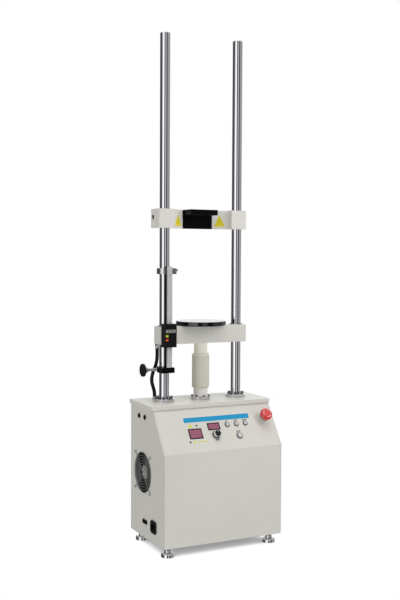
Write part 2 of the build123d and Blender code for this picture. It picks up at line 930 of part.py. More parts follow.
def button_cap(place, size):
    cap = rod(button_bore(size) - 2 * run_gap, -button_depth, button_proud + button_stand)
    cap = chamfer(cap.edges().group_by(Axis.Z)[-1], button_stand / 3)
    return on_panel(place, cap)


def button_body(place, size):
    floor = -button_depth - button_travel - 2 * run_gap
    body = rod(size, -sheet - button_body_length, -sheet)
    return on_panel(place, body - rod(button_bore(size), floor, -sheet))


def stop_collar_ring():
    ring = rod(stop_collar[0], 0, stop_collar[1])
    ring = chamfer(ring.edges().group_by(Axis.Z)[-1], edge_break)
    return on_panel(stop_place, ring - rod(stop_stem_diameter + 2 * run_gap, 0, stop_collar[1]))


def stop_stem():
    return on_panel(stop_place, rod(stop_stem_diameter, -2 * sheet, stop_stem_height))


def stop_head():
    top = stop_stem_height + stop_head_height
    head = rod(stop_head_diameter, stop_stem_height, top)
    head = fillet(head.edges().group_by(Axis.Z)[-1], stop_head_crown)
    head = chamfer(head.edges().group_by(Axis.Z)[0], stop_head_under)
    return on_panel(stop_place, head)


def stop_contact_block():
    body = Pos(0, 0, -sheet) * Box(*stop_block, align=(Align.CENTER, Align.CENTER, Align.MAX))
    well = rod(stop_stem_diameter + 2 * run_gap, -2 * sheet - stop_travel - 2 * run_gap, -sheet)
    return on_panel(stop_place, body - well)


# Cooling fan on the left side
def fan_corners():
    half = fan_screw_spacing / 2
    return [(i * half, j * half) for i in (-1, 1) for j in (-1, 1)]


def fan_frame():
    frame = Pos(0, 0, -sheet) * Box(fan_size, fan_size, fan_depth, align=(Align.CENTER, Align.CENTER, Align.MAX))
    frame = fillet(frame.edges().filter_by(Axis.Z), fan_back)
    frame -= rod(fan_bore, -sheet - fan_depth, -sheet)
    back = -sheet - fan_depth
    strut = Pos(0, 0, back) * Box(fan_bore + fan_strut, fan_strut, fan_back, align=low)
    frame += strut + Rot(0, 0, 90) * strut
    frame += rod(fan_hub, back, back + fan_back)
    frame += rod(fan_strut, back, back + fan_depth / 2)
    for x, y in fan_corners():
        frame -= rod(fan_screw_hole, -sheet - fan_depth, -sheet, x, y)
    return on_left(fan_place, frame)


def fan_rotor():
    back = -sheet - fan_depth + fan_back + run_gap
    front = -sheet - fan_back
    rotor = rod(fan_hub, back, front)
    reach = fan_bore / 2 - 2 * run_gap - fan_blade_thickness
    blade = Pos(0, 0, (back + front) / 2) * Rot(fan_blade_pitch, 0, 0) * Box(
        reach,
        fan_depth - 2 * fan_back,
        fan_blade_thickness,
        align=(Align.MIN, Align.CENTER, Align.CENTER),
    )
    for index in range(fan_blade_count):
        rotor += Rot(0, 0, index * 360 / fan_blade_count) * blade
    rotor &= rod(fan_bore - 4 * run_gap, back, front)
    rotor -= rod(fan_strut + 2 * run_gap, back, -sheet - fan_depth / 2 + 2 * run_gap)
    return on_left(fan_place, rotor)


def fan_guard():
    guard = Part()
    for index in range(guard_ring_count):
        diameter = fan_bore + guard_wire - 2 * index * guard_ring_step
        ring = rod(diameter, 0, guard_wire) - rod(diameter - 2 * guard_wire, 0, guard_wire)
        guard += ring
    half = fan_screw_spacing / 2
    length = 2 * hypot(half, half)
    bar = Box(length, guard_wire, guard_wire, align=low)
    guard += Rot(0, 0, 45) * bar + Rot(0, 0, -45) * bar
    for x, y in fan_corners():
        guard += rod(fan_screw_pad, 0, guard_wire, x, y)
        guard -= rod(fan_screw_hole, 0, guard_wire, x, y)
    return on_left(fan_place, guard)


# Sockets on the left side
def mains_inlet():
    width, height = inlet_size
    flange = Box(width, height, inlet_flange, align=low)
    flange = chamfer(flange.edges().filter_by(Axis.Z), inlet_chamfer)
    body = Pos(0, 0, -inlet_depth) * Box(
        inlet_recess[0] + sheet, inlet_recess[1] + sheet, inlet_depth, align=low
    )
    inlet = flange + body
    recess = Box(inlet_recess[0], inlet_recess[1], inlet_recess[2], align=low)
    recess = chamfer(recess.edges().filter_by(Axis.Z).group_by(Axis.Y)[-1], inlet_recess[1] / 4)
    inlet -= Pos(0, 0, inlet_flange - inlet_recess[2]) * recess
    pitch = inlet_recess[0] / 4
    for x, y in ((-pitch, -inlet_pin_step), (0, inlet_pin_step), (pitch, -inlet_pin_step)):
        pin = Pos(x, y, inlet_flange - inlet_recess[2]) * Box(*inlet_pin, align=low)
        inlet += pin
    return on_left(inlet_place, inlet)


def serial_port():
    plate = Box(*serial_plate, align=low)
    plate = fillet(plate.edges().filter_by(Axis.Z), serial_plate[1] / 5)
    width, height, reach = serial_shell
    shell = Trapezoid(width, height, serial_angle)
    port = plate + extrude(shell, reach) + Pos(0, 0, -serial_depth) * Box(
        width, height, serial_depth, align=low
    )
    port -= Pos(0, 0, serial_plate[2]) * extrude(offset(shell, -serial_plate[2]), reach)
    side = (serial_plate[0] + width) / 4
    for across in (-side, side):
        port += hexagon(serial_post, serial_plate[2], reach - serial_plate[2], across, 0)
    return on_left(serial_place, port)


def sensor_sockets():
    sockets = []
    for place in socket_places:
        body = rod(socket_flange[0], 0, socket_flange[1])
        body = chamfer(body.edges().group_by(Axis.Z)[-1], socket_edge)
        body += rod(socket_bore, -socket_depth, 0)
        body -= rod(socket_bore - 2 * socket_wall, socket_flange[1] - socket_well, socket_flange[1])
        sockets.append(on_left(place, body))
    return sockets


# Lead between the moving beam and the top plate
def lead_route():
    return [(-column_x + across, column_y + back, plate_z + up) for across, back, up in lead_points]


def gland_upper():
    x, y, _ = lead_route()[0]
    height = gland_height[0]
    body = hexagon(gland_flats, beam_z - height / 2, beam_z, x, y)
    return body + rod(gland_neck, beam_z - height, beam_z - height / 2, x, y)


def gland_lower():
    x, y, _ = lead_route()[-1]
    height = gland_height[1]
    body = hexagon(gland_flats, plate_z, plate_z + height / 2, x, y)
    return body + rod(gland_neck, plate_z + height / 2, plate_z + height, x, y)


def lead_radii():
    radii = []
    for before, here, after in zip(lead_points, lead_points[1:], lead_points[2:]):
        arrive = Vector(*here) - Vector(*before)
        leave = Vector(*after) - Vector(*here)
        half_turn = radians(arrive.get_angle(leave) / 2)
        radii.append(lead_bend_share * min(arrive.length, leave.length) / tan(half_turn))
    return radii


def lead():
    radii = lead_radii()
    print("lead radii", [round(radius, 1) for radius in radii])
    path = FilletPolyline(*lead_route(), radius=radii)
    tube = sweep(Plane(path @ 0, z_dir=path % 0) * Circle(lead_diameter / 2), path)
    print("lead length", round(path.length, 1), "volume", round(tube.volume, 1))
    return tube


os.makedirs("parts", exist_ok=True)

# Cabinet, feet and columns
save("side_panel_left", left_panel())
save("side_panel_right", side_panel(side_x - sheet))
save("front_panel", front_panel())
save("rear_panel", rear_panel())
save("floor_panel", floor_panel())
save("top_plate", top_plate())
save("frame_posts", *frame_posts())
for name, place in foot_places().items():
    save(f"foot_{name}", foot(*place))
save("frame_nuts", *foot_nuts(), column_nut(-1), column_nut(1))
for name, side in (("left", -1), ("right", 1)):
    save(f"column_{name}", column(side))
save("column_collars", collar(-1), collar(1))
save("flange_screws", *collar_screws(), *jack_screws())

# Lifting jack, drive and electronics
save("jack_flange", jack_flange())
save("guide_tube", guide_tube())
save("jack_barrel", barrel())
save("jack_ram", ram())
save("lift_screw", lift_screw())
save("gearbox_housing", gearbox_housing())
save("lift_nut", lift_nut())
save("gear_motor", gear_motor())
save("power_supply", power_supply())
save("control_board", control_board())

# Moving beam and upper crosshead
save("moving_beam", beam())
save("beam_bushes", bush(-1), bush(1))
save("platen", platen())
save("crosshead", crosshead())
save("crosshead_clamp_screws", crosshead_screw(-1), crosshead_screw(1))
save("load_bracket", load_bracket())

# Displacement scale and readout
save("scale_bar", scale_bar())
save("scale_ring", scale_ring())
save("wing_screw", wing_screw())
save("scale_clamp", scale_clamp())
save("clamp_knob", clamp_knob())
save("readout_body", readout_body())
save("readout_lcd", lcd_block(0))
for name, place in zip(("upper", "lower"), head_button_places()):
    save(f"readout_key_{name}", head_button(*place))

# Control panel
save("display_bezels", *[display_bezel(*item) for item in displays()])
save("display_windows", *[display_window(*item) for item in displays()])
save("speed_knob", speed_knob())
save("control_bezels", *[button_bezel(*item) for item in button_list()], stop_collar_ring())
for name, item in zip(("up", "stop", "down", "start"), button_list()):
    save(f"button_{name}", button_cap(*item))
bodies = [button_body(*item) for item in button_list()]
save("switch_bodies", *bodies, speed_pot_body(), stop_contact_block())
save("stop_stem", stop_stem())
save("stop_head", stop_head())

# Left side fittings
save("fan_frame", fan_frame())
save("fan_rotor", fan_rotor())
save("fan_guard", fan_guard())
save("mains_inlet", mains_inlet())
save("signal_sockets", serial_port(), *sensor_sockets())

# Lead from the moving beam
save("lead_gland_beam", gland_upper())
save("lead_gland_plate", gland_lower())
save("beam_lead", lead())
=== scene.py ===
from math import cos, hypot, pi, radians, sin

import bmesh
import bpy
from mathutils import Matrix, Vector


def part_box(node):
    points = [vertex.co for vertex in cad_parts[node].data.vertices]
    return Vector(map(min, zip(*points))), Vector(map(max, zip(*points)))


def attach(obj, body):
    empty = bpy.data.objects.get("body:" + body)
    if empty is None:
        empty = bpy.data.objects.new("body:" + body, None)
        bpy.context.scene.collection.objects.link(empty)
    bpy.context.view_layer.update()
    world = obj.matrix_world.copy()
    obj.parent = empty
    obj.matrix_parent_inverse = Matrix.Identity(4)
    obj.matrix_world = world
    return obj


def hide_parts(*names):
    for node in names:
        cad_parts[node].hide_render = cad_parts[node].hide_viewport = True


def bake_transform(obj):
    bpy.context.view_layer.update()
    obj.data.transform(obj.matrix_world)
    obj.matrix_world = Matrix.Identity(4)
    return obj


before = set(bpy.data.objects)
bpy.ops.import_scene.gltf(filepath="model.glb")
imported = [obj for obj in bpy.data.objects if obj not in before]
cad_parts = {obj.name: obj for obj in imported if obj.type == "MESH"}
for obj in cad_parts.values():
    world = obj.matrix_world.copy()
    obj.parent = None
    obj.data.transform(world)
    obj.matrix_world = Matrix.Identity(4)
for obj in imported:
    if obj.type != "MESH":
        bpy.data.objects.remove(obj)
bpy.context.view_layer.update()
scene = bpy.context.scene
scene.view_settings.view_transform = "Standard"


# object helpers
def newObject(name, data):
    made = bpy.data.objects.new(name, data)
    scene.collection.objects.link(made)
    return made


def bakeMesh(carrier):
    graph = bpy.context.evaluated_depsgraph_get()
    mesh = bpy.data.meshes.new_from_object(carrier.evaluated_get(graph))
    carrier.modifiers.clear()
    bpy.data.objects.remove(carrier)
    return mesh


# camera, at the photograph's own place and lens
cameraView = {
    "place": (-1.2567, -2.4774, 0.8474), "turn": -26.53, "tilt": 2.661, "roll": 0.283,
    "lens": 56.42, "sensor": 36.0,
}


def addCamera(view):
    data = bpy.data.cameras.new("photoCamera")
    data.sensor_width = view["sensor"]
    data.lens = view["lens"]
    camera = newObject("photoCamera", data)
    turn = Matrix.Rotation(radians(view["turn"]), 4, "Z")
    tilt = Matrix.Rotation(radians(90 - view["tilt"]), 4, "X")
    roll = Matrix.Rotation(radians(view["roll"]), 4, "Z")
    camera.matrix_world = Matrix.Translation(view["place"]) @ turn @ tilt @ roll
    scene.camera = camera


addCamera(cameraView)


# node helpers
def addNode(tree, kind, sockets=None, **settings):
    node = tree.nodes.new(kind)
    for name, value in settings.items():
        setattr(node, name, value)
    for name, value in (sockets or {}).items():
        if isinstance(value, bpy.types.NodeSocket):
            tree.links.new(value, node.inputs[name])
        else:
            node.inputs[name].default_value = value
    return node


def shaderNode(tree, kind, sockets=None, **settings):
    return addNode(tree, "ShaderNode" + kind, sockets, **settings).outputs


def shapeNode(tree, kind, sockets=None, **settings):
    return addNode(tree, "GeometryNode" + kind, sockets, **settings).outputs[0]


def addMath(tree, operation, first, second=0.0, third=0.0, clamp=False):
    sockets = {0: first, 1: second, 2: third}
    return shaderNode(tree, "Math", sockets, operation=operation, use_clamp=clamp)[0]


def addMix(tree, factor, first, second, blend="MIX"):
    sockets = {0: factor, 6: first, 7: second}
    return shaderNode(tree, "Mix", sockets, data_type="RGBA", blend_type=blend)[2]


def addRange(tree, value, lowIn, highIn, lowOut=0.0, highOut=1.0):
    names = ("Value", "From Min", "From Max", "To Min", "To Max")
    return shaderNode(tree, "MapRange", dict(zip(names, (value, lowIn, highIn, lowOut, highOut))))[0]


def addVector(tree, operation, first, second=(0.0, 0.0, 0.0)):
    return shaderNode(tree, "VectorMath", {0: first, 1: second}, operation=operation)


def addAxes(tree, sockets):
    return shaderNode(tree, "CombineXYZ", sockets)[0]


def addNoise(tree, place, scale, detail):
    return shaderNode(tree, "TexNoise", {"Vector": place, "Scale": scale, "Detail": detail})[0]


def objectPlace(tree):
    return shaderNode(tree, "TexCoord")["Object"]


def linkAll(tree, targets, values):
    for label, socket in values.items():
        tree.links.new(socket, targets[label])


def clearTree(owner):
    owner.use_nodes = True
    owner.node_tree.nodes.clear()
    return owner.node_tree


# a group's inputs and outputs are labels by kind
def newGroup(name, inputs, outputs, kind="ShaderNodeTree"):
    group = bpy.data.node_groups.new(name, kind)
    for side, kinds in (("INPUT", inputs), ("OUTPUT", outputs)):
        for socketKind, labels in kinds.items():
            for label in labels:
                group.interface.new_socket(label, in_out=side, socket_type="NodeSocket" + socketKind)
    return group, group.nodes.new("NodeGroupInput").outputs, group.nodes.new("NodeGroupOutput").inputs


# screen levels to linear light
def paint(red, green, blue):
    shares = [value / 255 for value in (red, green, blue)]
    return tuple(s / 12.92 if s <= 0.04045 else ((s + 0.055) / 1.055) ** 2.4 for s in shares) + (1.0,)


# studio: white surroundings, a banded room for the chrome to mirror, four soft boxes
studio = {
    "ambient": (0.14, 0.30), "horizon": (-0.3, 1.0), "overhead": (0.45, 0.75), "ceiling": 1.25,
    "bands": ((0.0, 0.16), (0.236, 0.08), (0.264, 0.75), (0.305, 1.6), (0.378, 1.6), (0.394, 0.08),
              (0.442, 0.08), (0.458, 0.80), (0.504, 0.80), (0.520, 0.05), (0.578, 0.05), (0.594, 0.54),
              (0.675, 0.54), (0.690, 0.34), (0.722, 0.40), (0.764, 0.66), (0.847, 0.66), (0.883, 1.3),
              (0.967, 1.3), (0.986, 0.16)),
    "lights": (  # name, place, aim, size and power
        ("keyBox", (1.5, -2.6, 2.2), (0.0, 0.0, 0.5), 1.8, 32.0),
        ("topBox", (0.1, -0.5, 3.4), (0.0, 0.0, 0.3), 2.4, 41.0),
        ("backBox", (-1.2, 2.8, 2.2), (0.0, 0.0, 0.5), 1.8, 12.0),
        ("sideBox", (-2.0, -0.2, 1.9), (0.0, 0.0, 1.6), 1.4, 6.0),
    ),
    # floor: its shade and the range it is mapped from make a painted contact shadow out of ambient occlusion
    "floor": {"half": 9.0, "reach": 0.12, "samples": 24, "clear": (0.07, 0.33), "shade": 0.28, "bounce": 0.9,
              "cloud": (1.5, 2.0), "drift": (0.995, 1.005)},
}


def addWorld(room):
    scene.world = bpy.data.worlds.new("studioRoom")
    tree = clearTree(scene.world)
    axes = shaderNode(tree, "SeparateXYZ", {"Vector": shaderNode(tree, "TexCoord")["Generated"]})
    facing = addMath(tree, "ARCTAN2", axes["X"], addMath(tree, "MULTIPLY", axes["Y"], -1.0))
    share = addMath(tree, "MULTIPLY_ADD", facing, 1 / (2 * pi), 0.5)
    ramp = addNode(tree, "ShaderNodeValToRGB", {"Fac": share})
    stops = ramp.color_ramp.elements
    while len(stops) < len(room["bands"]):
        stops.new(0.5)
    for stop, (place, level) in zip(stops, room["bands"]):
        stop.position = place
        stop.color = (level, level, level, 1.0)
    ceiling = (room["ceiling"],) * 3 + (1.0,)
    overhead = addRange(tree, axes["Z"], *room["overhead"])
    mirrored = addMix(tree, overhead, ramp.outputs["Color"], ceiling)
    soft = addRange(tree, axes["Z"], *room["horizon"], *room["ambient"])
    path = shaderNode(tree, "LightPath")
    unseen = addMix(tree, path["Is Glossy Ray"], soft, mirrored)
    shown = addMix(tree, path["Is Camera Ray"], unseen, (1.0, 1.0, 1.0, 1.0))
    background = shaderNode(tree, "Background", {"Color": shown, "Strength": 1.0})[0]
    addNode(tree, "ShaderNodeOutputWorld", {"Surface": background})


def addLight(name, place, aim, size, power):
    data = bpy.data.lights.new(name, "AREA")
    data.energy = power
    data.size = size
    light = newObject(name, data)
    light.location = place
    light.rotation_euler = (Vector(aim) - Vector(place)).to_track_quat("-Z", "Y").to_euler()
    light.visible_glossy = False


def addFloor(look):
    half = look["half"]
    mesh = bpy.data.meshes.new("studioFloor")
    corners = [(-half, -half, 0), (half, -half, 0), (half, half, 0), (-half, half, 0)]
    mesh.from_pydata(corners, [], [(0, 1, 2, 3)])
    floor = newObject("studioFloor", mesh)
    material = bpy.data.materials.new("paleFloor")
    tree = clearTree(material)
    # camera rays see white darkened by ambient occlusion, a painted contact shadow under and around the
    # object; other rays see an even glow
    clear = shaderNode(tree, "AmbientOcclusion", {"Distance": look["reach"]}, samples=look["samples"])["AO"]
    cloud = addNoise(tree, objectPlace(tree), *look["cloud"])
    glowWithPaintedShadow = addMath(tree, "MULTIPLY", addRange(tree, clear, *look["clear"], look["shade"], 1.0),
                   addRange(tree, cloud, 0.0, 1.0, *look["drift"]))
    camera = shaderNode(tree, "LightPath")["Is Camera Ray"]
    level = addRange(tree, camera, 0.0, 1.0, look["bounce"], glowWithPaintedShadow)
    glow = shaderNode(tree, "Emission", {"Strength": level})[0]
    addNode(tree, "ShaderNodeOutputMaterial", {"Surface": glow})
    mesh.materials.append(material)
    floor.visible_glossy = False  # the chrome mirrors the banded room, also below the horizon


addWorld(studio)
for lightBox in studio["lights"]:
    addLight(*lightBox)
addFloor(studio["floor"])
print("studio: world,", len(studio["lights"]), "lights and floor")


# shared surface effects; a noise is its scale and detail, a range what it is stretched from
surfaceMarks = {
    "cloud": (5.0, 4.0), "cloudRange": (0.35, 0.75), "grainDetail": 2.0, "grainRange": (0.25, 0.75),
    "streak": (1.0, 4.0), "streakShade": (0.82, 0.82, 0.84, 1.0), "streakShare": 0.6,
    "stain": (35.0, 5.0), "stainShare": 0.4, "stainRange": (0.3, 0.7),
    "ringDetail": 3.0, "ringShare": 0.35, "edgeSamples": 4, "edgeGain": 1.5,
    "lyingRange": (0.7, 1.0), "speck": (60.0, 6.0), "speckRange": (0.4, 0.8, 0.2, 1.0),
    "dustColour": paint(176, 172, 164),
}
skinOutputs = {"Color": ["Colour"], "Float": ["Roughness", "Height"]}


def makePaintSkin(marks):
    group, given, made = newGroup("paintSkin", {
        "Color": ["Colour", "Shade"], "Float": ["Grain", "Rough Low", "Rough High"],
    }, skinOutputs)
    place = objectPlace(group)
    tone = addRange(group, addNoise(group, place, *marks["cloud"]), *marks["cloudRange"])
    fine = addNoise(group, place, given["Grain"], marks["grainDetail"])
    linkAll(group, made, {
        "Colour": addMix(group, tone, given["Colour"], given["Shade"]),
        "Roughness": addRange(group, fine, *marks["grainRange"], given["Rough Low"], given["Rough High"]),
        "Height": fine,
    })
    return group


def makeMetalGrain(marks):
    group, given, made = newGroup("metalGrain", {
        "Color": ["Colour"], "Vector": ["Stretch"], "Float": ["Rough Low", "Rough High"],
    }, skinOutputs)
    place = objectPlace(group)
    pulled = shaderNode(group, "Mapping", {"Vector": place, "Scale": given["Stretch"]})[0]
    streak = addNoise(group, pulled, *marks["streak"])
    stain = addMath(group, "MULTIPLY", addNoise(group, place, *marks["stain"]), marks["stainShare"])
    mixed = addMath(group, "MULTIPLY_ADD", streak, marks["streakShare"], stain)
    darker = addMix(group, 1.0, given["Colour"], marks["streakShade"], "MULTIPLY")
    linkAll(group, made, {
        "Colour": addMix(group, streak, given["Colour"], darker),
        "Roughness": addRange(group, mixed, *marks["stainRange"], given["Rough Low"], given["Rough High"]),
        "Height": streak,
    })
    return group


def makeSoftEdge(marks):
    outputs = {"Vector": ["Normal"], "Float": ["Edge"]}
    group, given, made = newGroup("softEdge", {"Float": ["Radius"]}, outputs)
    rounded = shaderNode(group, "Bevel", {"Radius": given["Radius"]}, samples=marks["edgeSamples"])[0]
    flat = shaderNode(group, "NewGeometry")["True Normal"]
    turned = addMath(group, "SUBTRACT", 1.0, addVector(group, "DOT_PRODUCT", rounded, flat)["Value"])
    edge = addMath(group, "MULTIPLY", turned, marks["edgeGain"], clamp=True)
    linkAll(group, made, {"Normal": rounded, "Edge": edge})
    return group


def makeTurnedRings(marks):
    inputs = {"Vector": ["Centre"], "Float": ["Pitch"]}
    group, given, made = newGroup("turnedRings", inputs, {"Float": ["Ring"]})
    apart = addVector(group, "SUBTRACT", objectPlace(group), given["Centre"])[0]
    level = addVector(group, "MULTIPLY", apart, (1.0, 1.0, 0.0))[0]
    count = addMath(group, "DIVIDE", addVector(group, "LENGTH", level)["Value"], given["Pitch"])
    sockets = {"W": count, "Scale": 1.0, "Detail": marks["ringDetail"]}
    linkAll(group, made, {"Ring": shaderNode(group, "TexNoise", sockets, noise_dimensions="1D")[0]})
    return group


def makeSettledDust(marks):
    group, given, made = newGroup("settledDust", {"Float": ["Amount"]}, {"Float": ["Dust"]})
    up = shaderNode(group, "SeparateXYZ", {0: shaderNode(group, "NewGeometry")["Normal"]})["Z"]
    lying = addRange(group, up, *marks["lyingRange"])
    patch = addRange(group, addNoise(group, objectPlace(group), *marks["speck"]), *marks["speckRange"])
    settled = addMath(group, "MULTIPLY", lying, patch)
    linkAll(group, made, {"Dust": addMath(group, "MULTIPLY", settled, given["Amount"], clamp=True)})
    return group


paintSkin = makePaintSkin(surfaceMarks)
metalGrain = makeMetalGrain(surfaceMarks)
softEdge = makeSoftEdge(surfaceMarks)
turnedRings = makeTurnedRings(surfaceMarks)
settledDust = makeSettledDust(surfaceMarks)


# what each kind of surface shares
# each finish's edge colour is lighter than its colour and is mixed in along rounded edges: partly wear,
# partly a painted highlight
paintBase = {"coat": 0.0, "coatRough": 0.2, "shine": 0.4, "dust": 0.06, "edgeWearAndHighlight": 0.25, "depth": 0.0003}
jackBase = {**paintBase, "coat": 0.2, "grain": 900.0, "rough": (0.3, 0.4), "edge": 0.001, "bump": 0.06}
inkBase = {**paintBase, "dust": 0.0, "grain": 1500.0, "rough": (0.35, 0.45), "edge": 0.0002, "bump": 0.03}
metalBase = {"metallic": 1.0, "shine": 0.5, "edgeWearAndHighlight": 0.3, "edge": 0.0004, "depth": 0.0002}
plasticBase = {"coat": 0.0, "coatRough": 0.08, "shine": 0.5, "edge": 0.0005, "depth": 0.0002}

# finishes, one per material slot and a few for the dressed pieces: a base, what a row holds, and rows
finishSets = (
    (paintBase, ("colour", "shade", "edgeWearAndHighlightColour", "grain", "rough", "edge", "bump"), {
        "cabinet": ((226, 224, 216), (221, 219, 211), (236, 235, 229), 1300.0, (0.42, 0.55), 0.003, 0.1),
        "top_plate": ((230, 228, 220), (225, 223, 215), (238, 237, 231), 1300.0, (0.4, 0.52), 0.0012, 0.1),
        "beam_paint": ((226, 224, 217), (221, 219, 211), (236, 235, 229), 1100.0, (0.34, 0.46), 0.001, 0.08),
        "crosshead_paint": ((233, 230, 224), (228, 225, 219), (236, 235, 230), 1100.0, (0.34, 0.46), 0.0018,
                            0.08),
        # black steel: black paint set darker than such paint is, so part of its darkness is painted shade
        "black_steel": ((6, 6, 7), (5, 5, 5), (28, 28, 30), 1500.0, (0.34, 0.46), 0.0012, 0.1),
    }),
    (jackBase, ("colour", "shade", "edgeWearAndHighlightColour"), {
        "jack_paint": ((223, 220, 205), (217, 214, 199), (228, 225, 212)),
        "tube_paint": ((250, 247, 232), (246, 243, 228), (251, 248, 235)),
        # the guide tube's paint is lighter than the jack's: painted light against the shade of the barrel
        # above it
        "guidePaintedLight": ((250, 248, 240), (246, 244, 236), (252, 250, 244)),
    }),
    (inkBase, ("colour", "shade", "edgeWearAndHighlightColour"), {
        "bandBlue": ((8, 156, 208), (6, 150, 202), (60, 160, 212)),
        "markYellow": ((232, 214, 50), (226, 207, 44), (238, 222, 86)),
        "panelYellow": ((228, 224, 84), (222, 217, 78), (234, 230, 110)),
        # pale pink of the stop head's arrows: partly print, partly a painted highlight
        "arrowPrintAndHighlight": ((245, 192, 184), (240, 186, 178), (248, 206, 200)),
        "markDark": ((44, 46, 50), (38, 40, 44), (60, 62, 66)),
    }),
    (metalBase, ("colour", "edgeWearAndHighlightColour", "stretch", "rough", "bump"), {
        "column_chrome": ((214, 214, 217), (230, 230, 232), (60.0, 60.0, 1800.0), (0.03, 0.06), 0.004),
        "collarChrome": ((216, 216, 218), (232, 232, 234), (200.0, 200.0, 900.0), (0.07, 0.12), 0.01),
        "bright_steel": ((196, 196, 198), (226, 226, 228), (400.0, 400.0, 1600.0), (0.18, 0.3), 0.03),
        "dark_steel": ((72, 73, 76), (68, 69, 72), (300.0, 300.0, 300.0), (0.12, 0.2), 0.02),
        "bezelSteel": ((112, 113, 114), (170, 171, 172), (200.0, 200.0, 900.0), (0.1, 0.18), 0.02),
        "screwSteel": ((104, 104, 106), (150, 150, 152), (300.0, 300.0, 900.0), (0.26, 0.38), 0.03),
        "plain_steel": ((150, 150, 152), (176, 176, 178), (300.0, 300.0, 900.0), (0.3, 0.45), 0.05),
        "bronze": ((196, 170, 120), (214, 192, 146), (300.0, 300.0, 1200.0), (0.26, 0.38), 0.04),
        "scale_aluminium": ((214, 215, 214), (222, 223, 223), (900.0, 900.0, 40.0), (0.34, 0.46), 0.03),
        "foot_chrome": ((204, 204, 206), (226, 226, 228), (200.0, 200.0, 900.0), (0.1, 0.2), 0.02),
        "labelSilver": ((215, 215, 212), (222, 222, 220), (600.0, 40.0, 40.0), (0.34, 0.46), 0.02),
        "guardSteel": ((150, 150, 148), (170, 170, 168), (300.0, 300.0, 300.0), (0.36, 0.5), 0.02),
    }),
    (plasticBase, ("colour", "shade", "grain", "rough", "bump", "dust"), {
        "black_plastic": ((14, 14, 15), (11, 11, 12), 1800.0, (0.36, 0.5), 0.1, 0.05),
        "red_plastic": ((218, 32, 38), (210, 28, 34), 500.0, (0.16, 0.24), 0.02, 0.03),
        "window_red": ((146, 66, 96), (138, 60, 90), 400.0, (0.12, 0.2), 0.01, 0.0),
        "lcd_grey": ((150, 156, 146), (142, 149, 138), 1200.0, (0.2, 0.3), 0.01, 0.0),
        "key_yellow": ((196, 210, 40), (188, 201, 36), 1200.0, (0.4, 0.5), 0.05, 0.0),
        "key_orange": ((226, 84, 40), (216, 76, 36), 1200.0, (0.4, 0.5), 0.05, 0.0),
        "board_green": ((24, 92, 52), (20, 82, 46), 700.0, (0.4, 0.5), 0.05, 0.1),
        "lead_black": ((12, 12, 13), (9, 9, 10), 900.0, (0.42, 0.56), 0.06, 0.03),
        "segmentDark": ((30, 34, 32), (26, 30, 28), 900.0, (0.4, 0.5), 0.01, 0.0),
        "segmentRed": ((186, 104, 132), (180, 98, 126), 900.0, (0.3, 0.4), 0.01, 0.0),
    }),
)
# where one finish differs from its base
finishExtras = {
    "cabinet": {"coat": 0.1}, "top_plate": {"coat": 0.1, "dust": 0.1},
    "beam_paint": {"coat": 0.15}, "crosshead_paint": {"coat": 0.15},
    "black_steel": {"dust": 0.0, "shine": 0.1},
    "bandBlue": {"rough": (0.32, 0.42)}, "markDark": {"rough": (0.4, 0.5)},
    "dark_steel": {"edge": 0.0006, "centre": (0.0, 0.03375, 0.0), "pitch": 0.0009},
    "scale_aluminium": {"metallic": 0.15}, "labelSilver": {"metallic": 0.0}, "guardSteel": {"metallic": 0.35},
    "black_plastic": {"shine": 0.22}, "lead_black": {"shine": 0.25},
    "red_plastic": {"coat": 0.9}, "window_red": {"coat": 0.5},
}
shaderLabels = {"coat": "Coat Weight", "coatRough": "Coat Roughness", "shine": "Specular IOR Level",
                "metallic": "Metallic"}
# nodes whose finish isn't their slot's own
nodeFinishes = {
    "collarChrome": ["column_collars", "jack_flange"],
    "screwSteel": ["flange_screws"], "black_steel": ["scale_bar"], "guidePaintedLight": ["guide_tube"],
    "bezelSteel": ["control_bezels"],
    "labelSilver": ["button_up", "button_stop", "button_down", "button_start"],
}


def makeFinish(name, look):
    material = bpy.data.materials.new(name + "Finish")
    material.use_nodes = True
    tree = material.node_tree
    shader = tree.nodes["Principled BSDF"].inputs
    for key, label in shaderLabels.items():
        if key in look:
            shader[label].default_value = look[key]
    low, high = look["rough"]
    values = {"Colour": paint(*look["colour"]), "Rough Low": low, "Rough High": high}
    if "stretch" in look:
        values["Stretch"] = look["stretch"]
        skin = shaderNode(tree, "Group", values, node_tree=metalGrain)
    else:
        values.update({"Shade": paint(*look["shade"]), "Grain": look["grain"]})
        skin = shaderNode(tree, "Group", values, node_tree=paintSkin)
    edge = shaderNode(tree, "Group", {"Radius": look["edge"]}, node_tree=softEdge)
    colour, height = skin["Colour"], skin["Height"]
    # edges turn towards the lighter edge colour: partly wear, partly a painted highlight along the rounded
    # edges
    if "edgeWearAndHighlightColour" in look:
        wornAndLitEdge = paint(*look["edgeWearAndHighlightColour"])
        colour = addMix(tree, addMath(tree, "MULTIPLY", edge["Edge"], look["edgeWearAndHighlight"]), colour, wornAndLitEdge)
    if "centre" in look:
        values = {"Centre": look["centre"], "Pitch": look["pitch"]}
        height = shaderNode(tree, "Group", values, node_tree=turnedRings)["Ring"]
        colour = addMix(tree, addMath(tree, "MULTIPLY", height, surfaceMarks["ringShare"]), colour, wornAndLitEdge)
    if "dust" in look:
        dust = shaderNode(tree, "Group", {"Amount": look["dust"]}, node_tree=settledDust)["Dust"]
        colour = addMix(tree, dust, colour, surfaceMarks["dustColour"])
    bump = {"Height": height, "Strength": look["bump"], "Distance": look["depth"], "Normal": edge["Normal"]}
    linkAll(tree, shader, {
        "Base Color": colour, "Roughness": skin["Roughness"], "Normal": shaderNode(tree, "Bump", bump)[0],
    })
    return material


